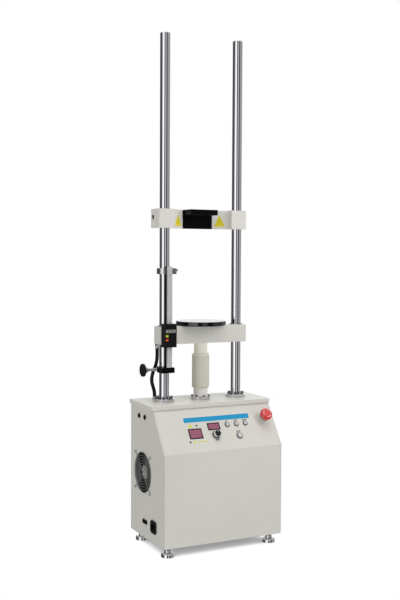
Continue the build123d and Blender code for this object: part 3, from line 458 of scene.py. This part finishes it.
finishes = {}
for base, labels, rows in finishSets:
    for finishName, row in rows.items():
        finishLook = {**base, **dict(zip(labels, row)), **finishExtras.get(finishName, {})}
        finishes[finishName] = makeFinish(finishName, finishLook)
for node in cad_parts.values():
    for nodeSlot in node.material_slots:
        nodeSlot.material = finishes[nodeSlot.material.name.split(".")[0]]
for finishName, nodeNames in nodeFinishes.items():
    for nodeName in nodeNames:
        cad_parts[nodeName].material_slots[0].material = finishes[finishName]
print("finishes:", len(finishes))


# mesh helpers
turnedSides = 48
sharpAngle = 35.0
outAxis = Vector((0.0, 0.0, 1.0))


def stackRings(rings, loop=False):
    mesh = bpy.data.meshes.new("rings")
    count = len(rings[0])
    points = [point for ring in rings for point in ring]
    faces = []
    for level in range(len(rings) if loop else len(rings) - 1):
        low, high = level * count, (level + 1) % len(rings) * count
        for index in range(count):
            after = (index + 1) % count
            faces.append((low + index, low + after, high + after, high + index))
    if not loop:
        faces.append(tuple(reversed(range(count))))
        faces.append(tuple(range(len(points) - count, len(points))))
    mesh.from_pydata(points, [], faces)
    mesh.update()
    return mesh


def circlePoints(radius, height, count):
    turns = [2 * pi * index / count for index in range(count)]
    return [(radius * cos(turn), radius * sin(turn), height) for turn in turns]


def smoothMesh(mesh):
    mesh.shade_smooth()
    mesh.set_sharp_from_angle(angle=radians(sharpAngle))
    return mesh


def placeMesh(mesh, place):
    mesh.transform(place)
    return mesh


def turnedMesh(profile, loop=False):
    return smoothMesh(stackRings([circlePoints(*point, turnedSides) for point in profile], loop))


def joinMeshes(meshes):
    joined = bmesh.new()
    for mesh in meshes:
        joined.from_mesh(mesh)
    whole = bpy.data.meshes.new("joined")
    joined.to_mesh(whole)
    joined.free()
    return whole


# a piece on its body; its one slot holds the given finish
def dressPiece(name, mesh, body, finish, place=None):
    if place is not None:
        mesh.transform(place)
    mesh.name = name
    mesh.materials.clear()
    mesh.materials.append(finishes[finish])
    piece = newObject(name, mesh)
    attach(piece, body)
    return piece


# lead from the beam to the top plate
leadCord = {
    "diameter": 0.0105, "length": 0.153, "sides": 20,
    "route": (
        (-0.0157, 0.0165, 0.157), (-0.0157, 0.0165, 0.144), (-0.0125, 0.0240, 0.122),
        (-0.0155, 0.0290, 0.101), (-0.0235, 0.0330, 0.080), (-0.0250, 0.0370, 0.058),
        (-0.0175, 0.0415, 0.038), (-0.0120, 0.0430, 0.023), (-0.0120, 0.0430, 0.010),
    ),
}


def splineLine(route):
    curve = bpy.data.curves.new("leadRoute", "CURVE")
    curve.dimensions = "3D"
    spline = curve.splines.new("NURBS")
    spline.points.add(len(route) - 1)
    for point, place in zip(spline.points, route):
        point.co = (*place, 1.0)
    spline.order_u = 3
    spline.use_endpoint_u = True
    return [vertex.co.copy() for vertex in bakeMesh(newObject("leadRoute", curve)).vertices]


def tubeAlong(points, radius, sides):
    rings = []
    across = Vector((1.0, 0.0, 0.0))
    for index, point in enumerate(points):
        before = points[max(index - 1, 0)]
        after = points[min(index + 1, len(points) - 1)]
        along = (after - before).normalized()
        across = (across - along * across.dot(along)).normalized()
        beside = along.cross(across)
        circle = circlePoints(radius, 0.0, sides)
        rings.append([point + across * spot[0] + beside * spot[1] for spot in circle])
    return smoothMesh(stackRings(rings))


def addLead(cord):
    columnLow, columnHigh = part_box("column_left")
    axis = (columnLow + columnHigh) / 2
    start = Vector((axis.x, axis.y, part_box("top_plate")[1].z))
    line = splineLine([start + Vector(point) for point in cord["route"]])
    mesh = tubeAlong(line, cord["diameter"] / 2, cord["sides"])
    mesh.materials.append(finishes["lead_black"])
    lead = newObject("beamLead", mesh)
    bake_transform(lead)
    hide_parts("beam_lead")


addLead(leadCord)
print("lead:", leadCord["length"], "m")


# Geometry Nodes: trees that take a seed and a finish, with their steps around a circle
roundSteps = {"ring": 72, "eye": 16, "wire": 10, "turn": 32, "thread": 6}


def newTree(name, inputs):
    whole = {"Geometry": ["Geometry"], **inputs, "Material": ["Finish"]}
    return newGroup(name, whole, {"Geometry": ["Geometry"]}, "GeometryNodeTree")


def closeTree(tree, given, made, shape):
    real = shapeNode(tree, "RealizeInstances", {"Geometry": shape})
    dressed = shapeNode(tree, "SetMaterial", {"Geometry": real, "Material": given["Finish"]})
    tree.links.new(dressed, made["Geometry"])
    return tree


def joinShapes(tree, *shapes):
    join = addNode(tree, "GeometryNodeJoinGeometry")
    for shape in shapes:
        tree.links.new(shape, join.inputs[0])
    return join.outputs[0]


def addCircle(tree, steps, radius):
    return shapeNode(tree, "CurvePrimitiveCircle", {"Resolution": steps, "Radius": radius})


def addTube(tree, line, radius, steps):
    profile = addCircle(tree, steps, radius)
    return shapeNode(tree, "CurveToMesh", {"Curve": line, "Profile Curve": profile, "Fill Caps": True})


def addCopies(tree, count, item, sockets, offset=(0.0, 0.0, 0.0)):
    spots = shapeNode(tree, "MeshLine", {"Count": count, "Offset": offset})
    return shapeNode(tree, "InstanceOnPoints", {"Points": spots, "Instance": item, **sockets})


def makePlaceCopies():
    tree, given, made = newTree("placeCopies", {"Object": ["Item"]})
    facing, along = (shapeNode(tree, "InputNamedAttribute", {"Name": label}, data_type="FLOAT_VECTOR")
                     for label in ("facing", "along"))
    turn = addNode(tree, "FunctionNodeAxesToRotation", {0: facing, 1: along}, primary_axis="Z",
                   secondary_axis="X").outputs[0]
    item = addNode(tree, "GeometryNodeObjectInfo", {"Object": given["Item"]}).outputs["Geometry"]
    sockets = {"Points": given["Geometry"], "Instance": item, "Rotation": turn}
    return closeTree(tree, given, made, shapeNode(tree, "InstanceOnPoints", sockets))


def makeWireGuard():
    tree, given, made = newTree("wireGuard", {
        "Float": ["Outer Radius", "Ring Step", "Wire", "Reach", "Lug"], "Int": ["Ring Count"],
    })
    index = shapeNode(tree, "InputIndex")
    narrowed = addMath(tree, "MULTIPLY", index, given["Ring Step"])
    radius = addMath(tree, "SUBTRACT", given["Outer Radius"], narrowed)
    circle = addCircle(tree, roundSteps["ring"], 1.0)
    rings = addCopies(tree, given["Ring Count"], circle, {"Scale": radius})
    tip = addAxes(tree, {"X": given["Reach"]})
    spoke = shapeNode(tree, "CurvePrimitiveLine", {"Start": (0.0, 0.0, 0.0), "End": tip})
    eye = addCircle(tree, roundSteps["eye"], given["Lug"])
    eyeSpot = addAxes(tree, {"X": addMath(tree, "ADD", given["Reach"], given["Lug"])})
    lug = shapeNode(tree, "Transform", {"Geometry": eye, "Translation": eyeSpot})
    turn = addAxes(tree, {"Z": addMath(tree, "MULTIPLY_ADD", index, pi / 2, pi / 4)})
    arms = addCopies(tree, 4, joinShapes(tree, spoke, lug), {"Rotation": turn})
    lines = shapeNode(tree, "RealizeInstances", {"Geometry": joinShapes(tree, rings, arms)})
    wires = addTube(tree, lines, addMath(tree, "MULTIPLY", given["Wire"], 0.5), roundSteps["wire"])
    return closeTree(tree, given, made, wires)


def makeScrewThread():
    tree, given, made = newTree("screwThread", {"Float": ["Radius", "Length", "Pitch", "Depth"]})
    turns = addMath(tree, "DIVIDE", given["Length"], given["Pitch"])
    spiral = shapeNode(tree, "CurveSpiral", {
        "Resolution": roundSteps["turn"], "Rotations": turns, "Height": given["Length"],
        "Start Radius": given["Radius"], "End Radius": given["Radius"],
    })
    return closeTree(tree, given, made, addTube(tree, spiral, given["Depth"], roundSteps["thread"]))


def makeScaleTicks():
    tree, given, made = newTree("scaleTicks", {
        "Int": ["Count"], "Float": ["Step", "Short", "Middle", "Long", "Width", "Thick"],
    })
    index = shapeNode(tree, "InputIndex")
    length = given["Short"]
    for every, label in ((5.0, "Middle"), (10.0, "Long")):
        due = addMath(tree, "LESS_THAN", addMath(tree, "MODULO", index, every), 0.5)
        sockets = {"Switch": due, "False": length, "True": given[label]}
        length = shapeNode(tree, "Switch", sockets, input_type="FLOAT")
    bar = shapeNode(tree, "MeshCube", {"Size": (1.0, 1.0, 1.0)})
    moved = shapeNode(tree, "Transform", {"Geometry": bar, "Translation": (0.5, -0.5, 0.0)})
    rise = addAxes(tree, {"Z": given["Step"]})
    size = addAxes(tree, {"X": length, "Y": given["Thick"], "Z": given["Width"]})
    return closeTree(tree, given, made, addCopies(tree, given["Count"], moved, {"Scale": size}, rise))


placeCopies = makePlaceCopies()
wireGuard = makeWireGuard()
screwThread = makeScrewThread()
scaleTicks = makeScaleTicks()


def growMesh(tree, finish, values, seed=None):
    carrier = newObject("seed", seed or bpy.data.meshes.new("seed"))
    modifier = carrier.modifiers.new("grow", "NODES")
    modifier.node_group = tree
    sockets = {item.name: item.identifier for item in tree.interface.items_tree if item.in_out == "INPUT"}
    for label, value in {**values, "Finish": finishes[finish]}.items():
        modifier[sockets[label]] = value
    return bakeMesh(carrier)


# copies of an item; a row is where one stands, the way it faces and the way it lies
def copyOnto(item, rows, finish):
    places, *axes = zip(*rows)
    spots = bpy.data.meshes.new("spots")
    spots.from_pydata(places, [], [])
    for label, vectors in zip(("facing", "along"), axes):
        store = spots.attributes.new(label, "FLOAT_VECTOR", "POINT")
        store.data.foreach_set("vector", [value for vector in vectors for value in vector])
    carrier = newObject("item", item)
    grown = growMesh(placeCopies, finish, {"Item": carrier}, spots)
    bpy.data.objects.remove(carrier)
    return smoothMesh(grown)


def framedRow(pieceFrame, spot, facing, along):
    turn = pieceFrame.to_3x3()
    return pieceFrame @ spot, turn @ facing, turn @ along


# flat plates, words and screws
screwHead = {
    "sides": 24, "socketFloor": 0.35, "profile": ((1.0, 0.0), (1.0, 0.45), (0.93, 0.75), (0.74, 1.0)),
}


def platePiece(outline, thick, bevel):
    middle = sum((Vector(point) for point in outline), Vector((0.0, 0.0))) / len(outline)
    rings = []
    for inset, height in ((0.0, 0.0), (0.0, thick - bevel), (bevel, thick)):
        ring = []
        for point in outline:
            moved = Vector(point) + (middle - Vector(point)).normalized() * inset
            ring.append((moved.x, moved.y, height))
        rings.append(ring)
    return stackRings(rings)


def roundedOutline(corners, radius, steps=5):
    outline = []
    for index, corner in enumerate(corners):
        here = Vector(corner)
        before = (Vector(corners[index - 1]) - here).normalized()
        after = (Vector(corners[(index + 1) % len(corners)]) - here).normalized()
        half = before.angle(after) / 2
        centre = here + (before + after).normalized() * (radius / sin(half))
        first = here + before * (radius * cos(half) / sin(half)) - centre
        last = here + after * (radius * cos(half) / sin(half)) - centre
        for step in range(steps + 1):
            mixed = first.lerp(last, step / steps)
            outline.append(tuple(centre + mixed.normalized() * radius))
    return outline


def boxOutline(low, high, radius):
    return roundedOutline([low, (high[0], low[1]), high, (low[0], high[1])], radius)


def triangleOutline(width, height, radius):
    corners = [(-width / 2, -height / 2), (width / 2, -height / 2), (0.0, height / 2)]
    return roundedOutline(corners, radius)


def wordMesh(text, size, depth, bold=0.0):
    curve = bpy.data.curves.new("word", "FONT")
    curve.body = text
    curve.size = size
    curve.extrude = depth / 2
    curve.offset = bold
    curve.align_x = "CENTER"
    curve.align_y = "CENTER"
    mesh = bakeMesh(newObject("word", curve))
    mesh.materials.clear()
    return mesh


def screwMesh(radius, height, socket):
    sides = screwHead["sides"]
    rings = [circlePoints(radius * out, height * up, sides) for out, up in screwHead["profile"]]
    for level in (height, height * screwHead["socketFloor"]):
        ring = []
        for index in range(sides):
            angle = 2 * pi * index / sides
            reach = socket / cos(angle % (pi / 3) - pi / 6)
            ring.append((reach * cos(angle), reach * sin(angle), level))
        rings.append(ring)
    return stackRings(rings)


# ribs around a knob's rim
def ribRing(ribs, knobFrame, finish):
    length, width, proud = ribs["size"]
    corner, bevel = width * 0.45, proud * 0.5
    rib = platePiece(boxOutline((-length / 2, -width / 2), (length / 2, width / 2), corner), proud, bevel)
    rows = []
    for point in circlePoints(1.0, 0.0, ribs["count"]):
        outward = Vector(point)
        spot = outward * ribs["radius"] + outAxis * ribs["level"]
        rows.append(framedRow(knobFrame, spot, outward, outAxis))
    return copyOnto(rib, rows, finish)


# frames: x across, y up and z outwards from a face
def axesFrame(across, up, outward, origin):
    return Matrix(((*across, 0.0), (*up, 0.0), (*outward, 0.0), (*origin, 1.0))).transposed()


def frontFrame(origin):
    return Matrix.Translation(origin) @ Matrix.Rotation(pi / 2, 4, "X")


# control panel on the slope
slopePlace = {"foot": (0.0, -0.12225, 0.2935), "up": (0.0, 0.0804, 0.1145)}
slopeUp = Vector(slopePlace["up"]) / hypot(*slopePlace["up"])
slopeOut = Vector((0.0, -slopeUp.z, slopeUp.y))
slopeFrame = axesFrame((1.0, 0.0, 0.0), slopeUp, slopeOut, slopePlace["foot"])

panelPrint = {
    "band": ((-0.103, 0.0940), (0.110, 0.1088)),
    "thick": 0.00025, "bevel": 0.00008, "corner": 0.0006,
    "sign": {"place": (-0.0865, 0.0845), "size": (0.0158, 0.013)},
    "arrow": {"place": (-0.0666, 0.0834), "size": 0.0095,
              "outline": ((-0.5, 0.35), (0.0, -0.5), (0.5, 0.35), (0.0, 0.1))},
    "dot": {"place": (-0.0988, 0.0332), "radius": 0.0031, "sides": 24},
    "yellowBars": (((-0.0885, 0.0305), (-0.0809, 0.0362)), ((-0.075, 0.0316), (-0.0436, 0.0344))),
    "barCorner": 0.0005,
    "words": (("UP", (0.032, 0.0895)), ("STOP", (0.062, 0.0895)), ("DOWN", (0.092, 0.0895)),
              ("START", (0.062, 0.0545)), ("SPEED", (-0.012, 0.0335))),
    "wordSize": 0.0048, "wordBold": 0.00014,
}


def flatMove(mesh, place, lift=0.0):
    return placeMesh(mesh, Matrix.Translation((*place, lift)))


def onSlope(place):
    return slopeFrame @ Matrix.Translation((*place, 0.0))


def addPanelPrint(look):
    thick, bevel = look["thick"], look["bevel"]
    band = platePiece(boxOutline(*look["band"], look["corner"]), thick, bevel)
    dressPiece("panelBand", band, "base", "bandBlue", slopeFrame)
    sign, arrow, dot = look["sign"], look["arrow"], look["dot"]
    triangle = triangleOutline(*sign["size"], look["corner"])
    yellow = [flatMove(platePiece(triangle, thick, bevel), sign["place"])]
    for low, high in look["yellowBars"]:
        yellow.append(platePiece(boxOutline(low, high, look["barCorner"]), thick, bevel))
    dressPiece("panelYellowMarks", joinMeshes(yellow), "base", "panelYellow", slopeFrame)
    pointer = [(arrow["size"] * across, arrow["size"] * up) for across, up in arrow["outline"]]
    disc = [point[:2] for point in circlePoints(dot["radius"], 0.0, dot["sides"])]
    dark = [flatMove(platePiece(pointer, thick, bevel), arrow["place"]),
            flatMove(platePiece(disc, thick, bevel), dot["place"])]
    for text, place in look["words"]:
        dark.append(flatMove(wordMesh(text, look["wordSize"], thick, look["wordBold"]), place, thick / 2))
    dressPiece("panelDarkMarks", joinMeshes(dark), "base", "markDark", slopeFrame)


addPanelPrint(panelPrint)
print("panel print: band, marks and", len(panelPrint["words"]), "words")


# seven-segment figures in the display windows and on the readout
segmentSpots = {  # across and up in half figure heights, and whether the bar stands
    "top": (0.0, 1.0, False), "middle": (0.0, 0.0, False), "bottom": (0.0, -1.0, False),
    "upperLeft": (-0.5, 0.5, True), "upperRight": (0.5, 0.5, True),
    "lowerLeft": (-0.5, -0.5, True), "lowerRight": (0.5, -0.5, True),
}
segmentBar = {"length": 0.94, "width": 0.24, "thick": 0.00012, "bevel": 0.000036}  # also in half heights
figureBars = {
    "0": ("top", "bottom", "upperLeft", "upperRight", "lowerLeft", "lowerRight"),
    "2": ("top", "middle", "bottom", "upperRight", "lowerLeft"),
    "5": ("top", "middle", "bottom", "upperLeft", "lowerRight"),
}
displayFigures = (
    {"text": "0000", "place": (-0.0762, 0.0636), "height": 0.0095, "pitch": 0.0085},
    {"text": "0250", "place": (-0.0762, 0.0508), "height": 0.0075, "pitch": 0.0072},
    {"text": "0050", "place": (-0.0132, 0.0762), "height": 0.0105, "pitch": 0.0083},
)


def segmentMesh(size):
    half, point = size * segmentBar["length"] / 2, size * segmentBar["width"] / 2
    outline = [(-half, 0.0), (-half + point, -point), (half - point, -point),
               (half, 0.0), (half - point, point), (-half + point, point)]
    return platePiece(outline, segmentBar["thick"], segmentBar["bevel"])


def figureMesh(look, place, figureFrame, lift, finish):
    rows = []
    half = look["height"] / 2
    for index, figure in enumerate(look["text"]):
        shift = (index - (len(look["text"]) - 1) / 2) * look["pitch"]
        for bar in figureBars[figure]:
            across, up, stands = segmentSpots[bar]
            spot = Vector((place[0] + shift + across * half, place[1] + up * half, lift))
            lie = Vector((0.0, 1.0, 0.0)) if stands else Vector((1.0, 0.0, 0.0))
            rows.append(framedRow(figureFrame, spot, outAxis, lie))
    return copyOnto(segmentMesh(half), rows, finish)


windowPoints = [vertex.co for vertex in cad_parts["display_windows"].data.vertices]
windowTop = max((point - Vector(slopePlace["foot"])).dot(slopeOut) for point in windowPoints)
figureMeshes = [figureMesh(look, look["place"], slopeFrame, windowTop, "segmentRed")
                for look in displayFigures]
dressPiece("displayFigures", joinMeshes(figureMeshes), "base", "segmentRed")
print("displays:", len(displayFigures), "rows of figures")


# speed knob: knurled bright body on a dark skirt, partly the knob's own skirt and partly a dark ring standing
# for the shade at its base, with a dark cap and pointer line
speedKnob = {  # profiles are radius and height above the panel
    "place": (-0.012, 0.0495),
    "body": ((0.00995, 0.0006), (0.01075, 0.0014), (0.01075, 0.0109), (0.01035, 0.0119), (0.00915, 0.0125)),
    "ribs": {"count": 36, "size": (0.0072, 0.0008, 0.0004), "radius": 0.01065, "level": 0.006074},
    "skirtAndShade": ((0.0123, 0.0006), (0.0123, 0.00156), (0.0119, 0.0022), (0.01055, 0.0022)),
    "cap": ((0.0091, 0.0125), (0.0085, 0.0149), (0.0079, 0.0155), (0.003, 0.0151)),
    "pointer": {"low": (-0.0005, 0.0012), "high": (0.0005, 0.0074), "corner": 0.0004, "proud": 0.0004,
                "bevel": 0.00016, "level": 0.0152},
}


def addSpeedKnob(look):
    body = "speed_knob_body"
    knobFrame = onSlope(look["place"])
    turned = turnedMesh(look["body"])
    knob = dressPiece("speedKnobBody", turned, body, "collarChrome", knobFrame)
    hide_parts("speed_knob")
    ribs = ribRing(look["ribs"], knobFrame, "collarChrome")
    dressPiece("speedKnobRibs", ribs, body, "collarChrome")
    # dark skirt ring: partly a real skirt, partly painted shade at the knob's base
    dressPiece("speedKnobSkirt", turnedMesh(look["skirtAndShade"]), body, "black_plastic", place=knobFrame)
    dressPiece("speedKnobCap", turnedMesh(look["cap"]), body, "black_plastic", place=knobFrame)
    pointer = look["pointer"]
    outline = boxOutline(pointer["low"], pointer["high"], pointer["corner"])
    line = flatMove(platePiece(outline, pointer["proud"], pointer["bevel"]), (0.0, 0.0), pointer["level"])
    dressPiece("speedKnobPointer", line, body, "labelSilver", knobFrame)


addSpeedKnob(speedKnob)
print("speed knob:", speedKnob["ribs"]["count"], "ribs")


# stop button: pale sleeve over its collar, and raised arrows on its head, the way that it twists; the arrows'
# pale pink is partly print and partly a painted highlight on the head
stopButton = {  # the sleeve is radius and height above the panel, turns are in degrees
    "place": (0.1565, 0.0905),
    "sleeve": ((0.0154, 0.0), (0.0154, 0.0079), (0.0144, 0.0089), (0.0096, 0.0089), (0.0096, 0.0)),
    "arrows": {"count": 3, "first": 125.0, "sweep": 66.0, "steps": 14, "shoulder": 2.0, "headSweep": 20.0,
               "radius": 0.0122, "low": 0.0311, "high": 0.0323, "width": 0.0018, "headWidth": 0.0036,
               "tip": 0.0002},
}


def arrowSection(look, degrees, width):
    turn = radians(degrees)
    low, high = look["low"], look["high"]
    inner, outer = look["radius"] - width / 2, look["radius"] + width / 2
    corners = ((inner, low), (inner, high), (outer, high), (outer, low))
    return [(reach * cos(turn), reach * sin(turn), level) for reach, level in corners]


def arrowMesh(look, start):
    steps, neck = look["steps"], start + look["sweep"]
    sections = [(start + look["sweep"] * step / steps, look["width"]) for step in range(steps + 1)]
    sections += [(neck + look["shoulder"], look["headWidth"]), (neck + look["headSweep"], look["tip"])]
    return stackRings([arrowSection(look, degrees, width) for degrees, width in sections])


def addStopButton(look):
    buttonFrame = onSlope(look["place"])
    sleeve = turnedMesh(look["sleeve"], loop=True)
    dressPiece("stopSleeve", sleeve, "base", "labelSilver", buttonFrame)
    arrows = look["arrows"]
    starts = [arrows["first"] + 360.0 * index / arrows["count"] for index in range(arrows["count"])]
    mesh = joinMeshes([arrowMesh(arrows, start) for start in starts])
    dressPiece("stopArrows", mesh, "stop_head_body", "arrowPrintAndHighlight", buttonFrame)


addStopButton(stopButton)
print("stop button: sleeve and", stopButton["arrows"]["count"], "arrows")


# fan on the left side: wire guard, its screws and a bare hub plate
fanDress = {
    "centre": (-0.190, 0.02645, 0.217),
    "guard": {"Outer Radius": 0.0585, "Ring Step": 0.008, "Ring Count": 6, "Wire": 0.0018, "Lug": 0.0032},
    "guardLift": 0.001,
    "screwHalf": 0.0525, "screw": (0.0036, 0.0019, 0.0014), "screwAlong": (0.0, 0.9, 0.44),
    "hubFace": -0.184, "hubPlate": ((0.0195, 0.0), (0.0195, 0.0002), (0.0193, 0.0003)),
}


def sideFrame(origin):
    return axesFrame((0.0, -1.0, 0.0), (0.0, 0.0, 1.0), (-1.0, 0.0, 0.0), origin)


def addFanDress(look):
    half, guardLook = look["screwHalf"], look["guard"]
    fanFrame = sideFrame(look["centre"])
    reach = hypot(half, half) - guardLook["Lug"]
    guard = smoothMesh(growMesh(wireGuard, "guardSteel", {**guardLook, "Reach": reach}))
    flatMove(guard, (0.0, 0.0), look["guardLift"])
    piece = dressPiece("fanGuardWires", guard, "base", "guardSteel", fanFrame)
    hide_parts("fan_guard")
    rows = []
    for across in (-half, half):
        for up in (-half, half):
            place = fanFrame @ Vector((across, up, guardLook["Wire"]))
            rows.append((place, (-1.0, 0.0, 0.0), look["screwAlong"]))
    screws = copyOnto(screwMesh(*look["screw"]), rows, "bright_steel")
    dressPiece("fanScrews", screws, "base", "bright_steel")
    hubFrame = sideFrame((look["hubFace"], *look["centre"][1:]))
    plate = turnedMesh(look["hubPlate"])
    dressPiece("fanHubPlate", plate, "fan_rotor_body", "labelSilver", hubFrame)


addFanDress(fanDress)
print("fan:", fanDress["guard"]["Ring Count"], "guard rings")


# displacement scale: bright front strip, ticks and figures on a dark bar
scaleFace = {
    "inset": 0.0003, "thick": 0.00015, "bevel": 0.00006, "corner": 0.0004,
    "ticks": {"Count": 271, "Step": 0.001, "Short": 0.003, "Middle": 0.0045, "Long": 0.006, "Width": 0.00022,
              "Thick": 0.00005},
    "tickIn": 0.0007, "tickFrom": 0.012, "figureSize": 0.0036, "figureEvery": 10, "figureShare": 0.66,
}


def addScaleFace(look):
    low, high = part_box("scale_bar")
    faceFrame = frontFrame(low)
    wide, tall = high.x - low.x, high.z - low.z
    inset, thick, tickLook = look["inset"], look["thick"], look["ticks"]
    outline = boxOutline((inset, inset), (wide - inset, tall - inset), look["corner"])
    strip = platePiece(outline, thick, look["bevel"])
    dressPiece("scaleStrip", strip, "scale", "scale_aluminium", place=faceFrame)
    ticks = growMesh(scaleTicks, "markDark", tickLook)
    tickPlace = (low.x + look["tickIn"], low.y - thick, low.z + look["tickFrom"])
    parts = [placeMesh(ticks, Matrix.Translation(tickPlace))]
    for count in range(0, tickLook["Count"], look["figureEvery"]):
        word = wordMesh(str(count // look["figureEvery"]), look["figureSize"], tickLook["Thick"])
        place = (wide * look["figureShare"], look["tickFrom"] + count * tickLook["Step"])
        flatMove(word, place, thick + tickLook["Thick"] / 2)
        parts.append(placeMesh(word, faceFrame))
    dressPiece("scaleMarks", joinMeshes(parts), "scale", "markDark")


addScaleFace(scaleFace)
print("scale:", scaleFace["ticks"]["Count"], "ticks")


# bare yellow triangle plates on the crosshead's arms
armPlates = {
    "foot": (0.0935, 0.03675), "head": (0.049, 0.06025), "along": 0.0277, "level": 0.9545, "width": 0.0336,
    "height": 0.0345, "corner": 0.0022, "thick": 0.0003, "bevel": 0.00012,
}


def addArmPlates(look):
    meshes = []
    outline = triangleOutline(look["width"], look["height"], look["corner"])
    for side in (-1, 1):
        foot, head = (Vector((side * look[end][0], look[end][1], 0.0)) for end in ("foot", "head"))
        inward = (head - foot).normalized()
        outward = inward.cross(outAxis) * -side
        spot = foot + inward * look["along"] + outAxis * look["level"]
        plateFrame = axesFrame(outAxis.cross(outward), outAxis, outward, spot)
        meshes.append(placeMesh(platePiece(outline, look["thick"], look["bevel"]), plateFrame))
    dressPiece("armPlates", joinMeshes(meshes), "upper_crosshead", "markYellow")


addArmPlates(armPlates)
print("crosshead: two bare yellow plates")


# clamp knob: ribbed rim, bright hub sleeve and threaded stem
clampKnob = {  # the hub is radius and distance from the knob's outer face
    "axis": (0.03375, 0.51525), "face": -0.192,
    "ribs": {"count": 30, "size": (0.0068, 0.0022, 0.0006), "radius": 0.0183, "level": 0.0045},
    "hub": ((0.0092, 0.009), (0.0092, 0.0106), (0.0084, 0.0112), (0.0083, 0.017), (0.007, 0.0184),
            (0.0041, 0.0185)),
    "stemFrom": 0.0188, "core": 0.00408,
    "thread": {"Radius": 0.0041, "Length": 0.0287, "Pitch": 0.00125, "Depth": 0.00042},
}


def addClampKnob(look):
    body = "clamp_knob_body"
    knobFrame = Matrix.Translation((look["face"], *look["axis"])) @ Matrix.Rotation(pi / 2, 4, "Y")
    dressPiece("clampKnobRibs", ribRing(look["ribs"], knobFrame, "black_plastic"), body, "black_plastic")
    dressPiece("clampKnobHub", turnedMesh(look["hub"]), body, "bright_steel", place=knobFrame)
    begin, thread = look["stemFrom"], look["thread"]
    core = turnedMesh(((look["core"], begin), (look["core"], begin + thread["Length"])))
    ridge = flatMove(growMesh(screwThread, "bright_steel", thread), (0.0, 0.0), begin)
    stem = smoothMesh(joinMeshes([core, ridge]))
    dressPiece("clampKnobStem", stem, body, "bright_steel", place=knobFrame)


addClampKnob(clampKnob)
print("clamp knob:", clampKnob["ribs"]["count"], "ribs and a threaded stem")


# readout on the beam: raised window frame and figures
readoutFace = {
    "frame": 0.0018, "proud": 0.0007, "gap": 0.0002, "corner": 0.0006,
    "figures": {"text": "0200", "height": 0.0062, "pitch": 0.0054},
}


def addReadoutFace(look):
    low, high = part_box("readout_lcd")
    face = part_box("readout_body")[0].y
    faceFrame = frontFrame((0.0, face, 0.0))
    gap, edge, proud = look["gap"], look["frame"], look["proud"]
    inner = boxOutline((low.x + gap, low.z + gap), (high.x - gap, high.z - gap), look["corner"])
    outer = boxOutline((low.x - edge, low.z - edge), (high.x + edge, high.z + edge), look["corner"] + edge)
    levels = ((outer, 0.0), (outer, proud), (inner, proud), (inner, 0.0))
    rings = [[(*point, height) for point in outline] for outline, height in levels]
    dressPiece("readoutFrame", stackRings(rings, loop=True), "lift", "black_plastic", place=faceFrame)
    middle = ((low.x + high.x) / 2, (low.z + high.z) / 2)
    figures = figureMesh(look["figures"], middle, faceFrame, face - low.y, "segmentDark")
    dressPiece("readoutFigures", figures, "lift", "segmentDark")


addReadoutFace(readoutFace)
print("readout: window frame and figures")


# screws of the rear panel, the load bracket and the mains inlet
screwSets = (
    {"name": "rearScrews", "body": "base", "finish": "bright_steel",
     "screw": (0.0042, 0.0022, 0.0016), "facing": (0.0, 1.0, 0.0), "along": (1.0, 0.0, 0.0),
     "places": [(x, 0.11775, z) for x in (-0.178, 0.0, 0.178) for z in (0.046, 0.395)]
     + [(x, 0.11775, 0.22) for x in (-0.178, 0.178)]},
    {"name": "bracketScrews", "body": "upper_crosshead", "finish": "black_steel",
     "screw": (0.0048, 0.0026, 0.0021), "facing": (0.0, -1.0, 0.0), "along": (1.0, 0.0, 0.0),
     "places": [(x, 0.06025, z) for x in (-0.040, 0.040) for z in (0.9395, 0.9585)]},
    {"name": "inletScrews", "body": "base", "finish": "dark_steel", "slot": "bright_steel",
     "screw": (0.0024, 0.0011, 0.0009), "facing": (-1.0, 0.0, 0.0), "along": (0.0, 1.0, 0.0),
     "places": [(-0.193, y, 0.0755) for y in (-0.0694, -0.0367)]},
)


def addScrews(look):
    rows = [(place, look["facing"], look["along"]) for place in look["places"]]
    mesh = copyOnto(screwMesh(*look["screw"]), rows, look["finish"])
    dressPiece(look["name"], mesh, look["body"], look["finish"])


for screwSet in screwSets:
    addScrews(screwSet)
print("screws:", sum(len(screwSet["places"]) for screwSet in screwSets))
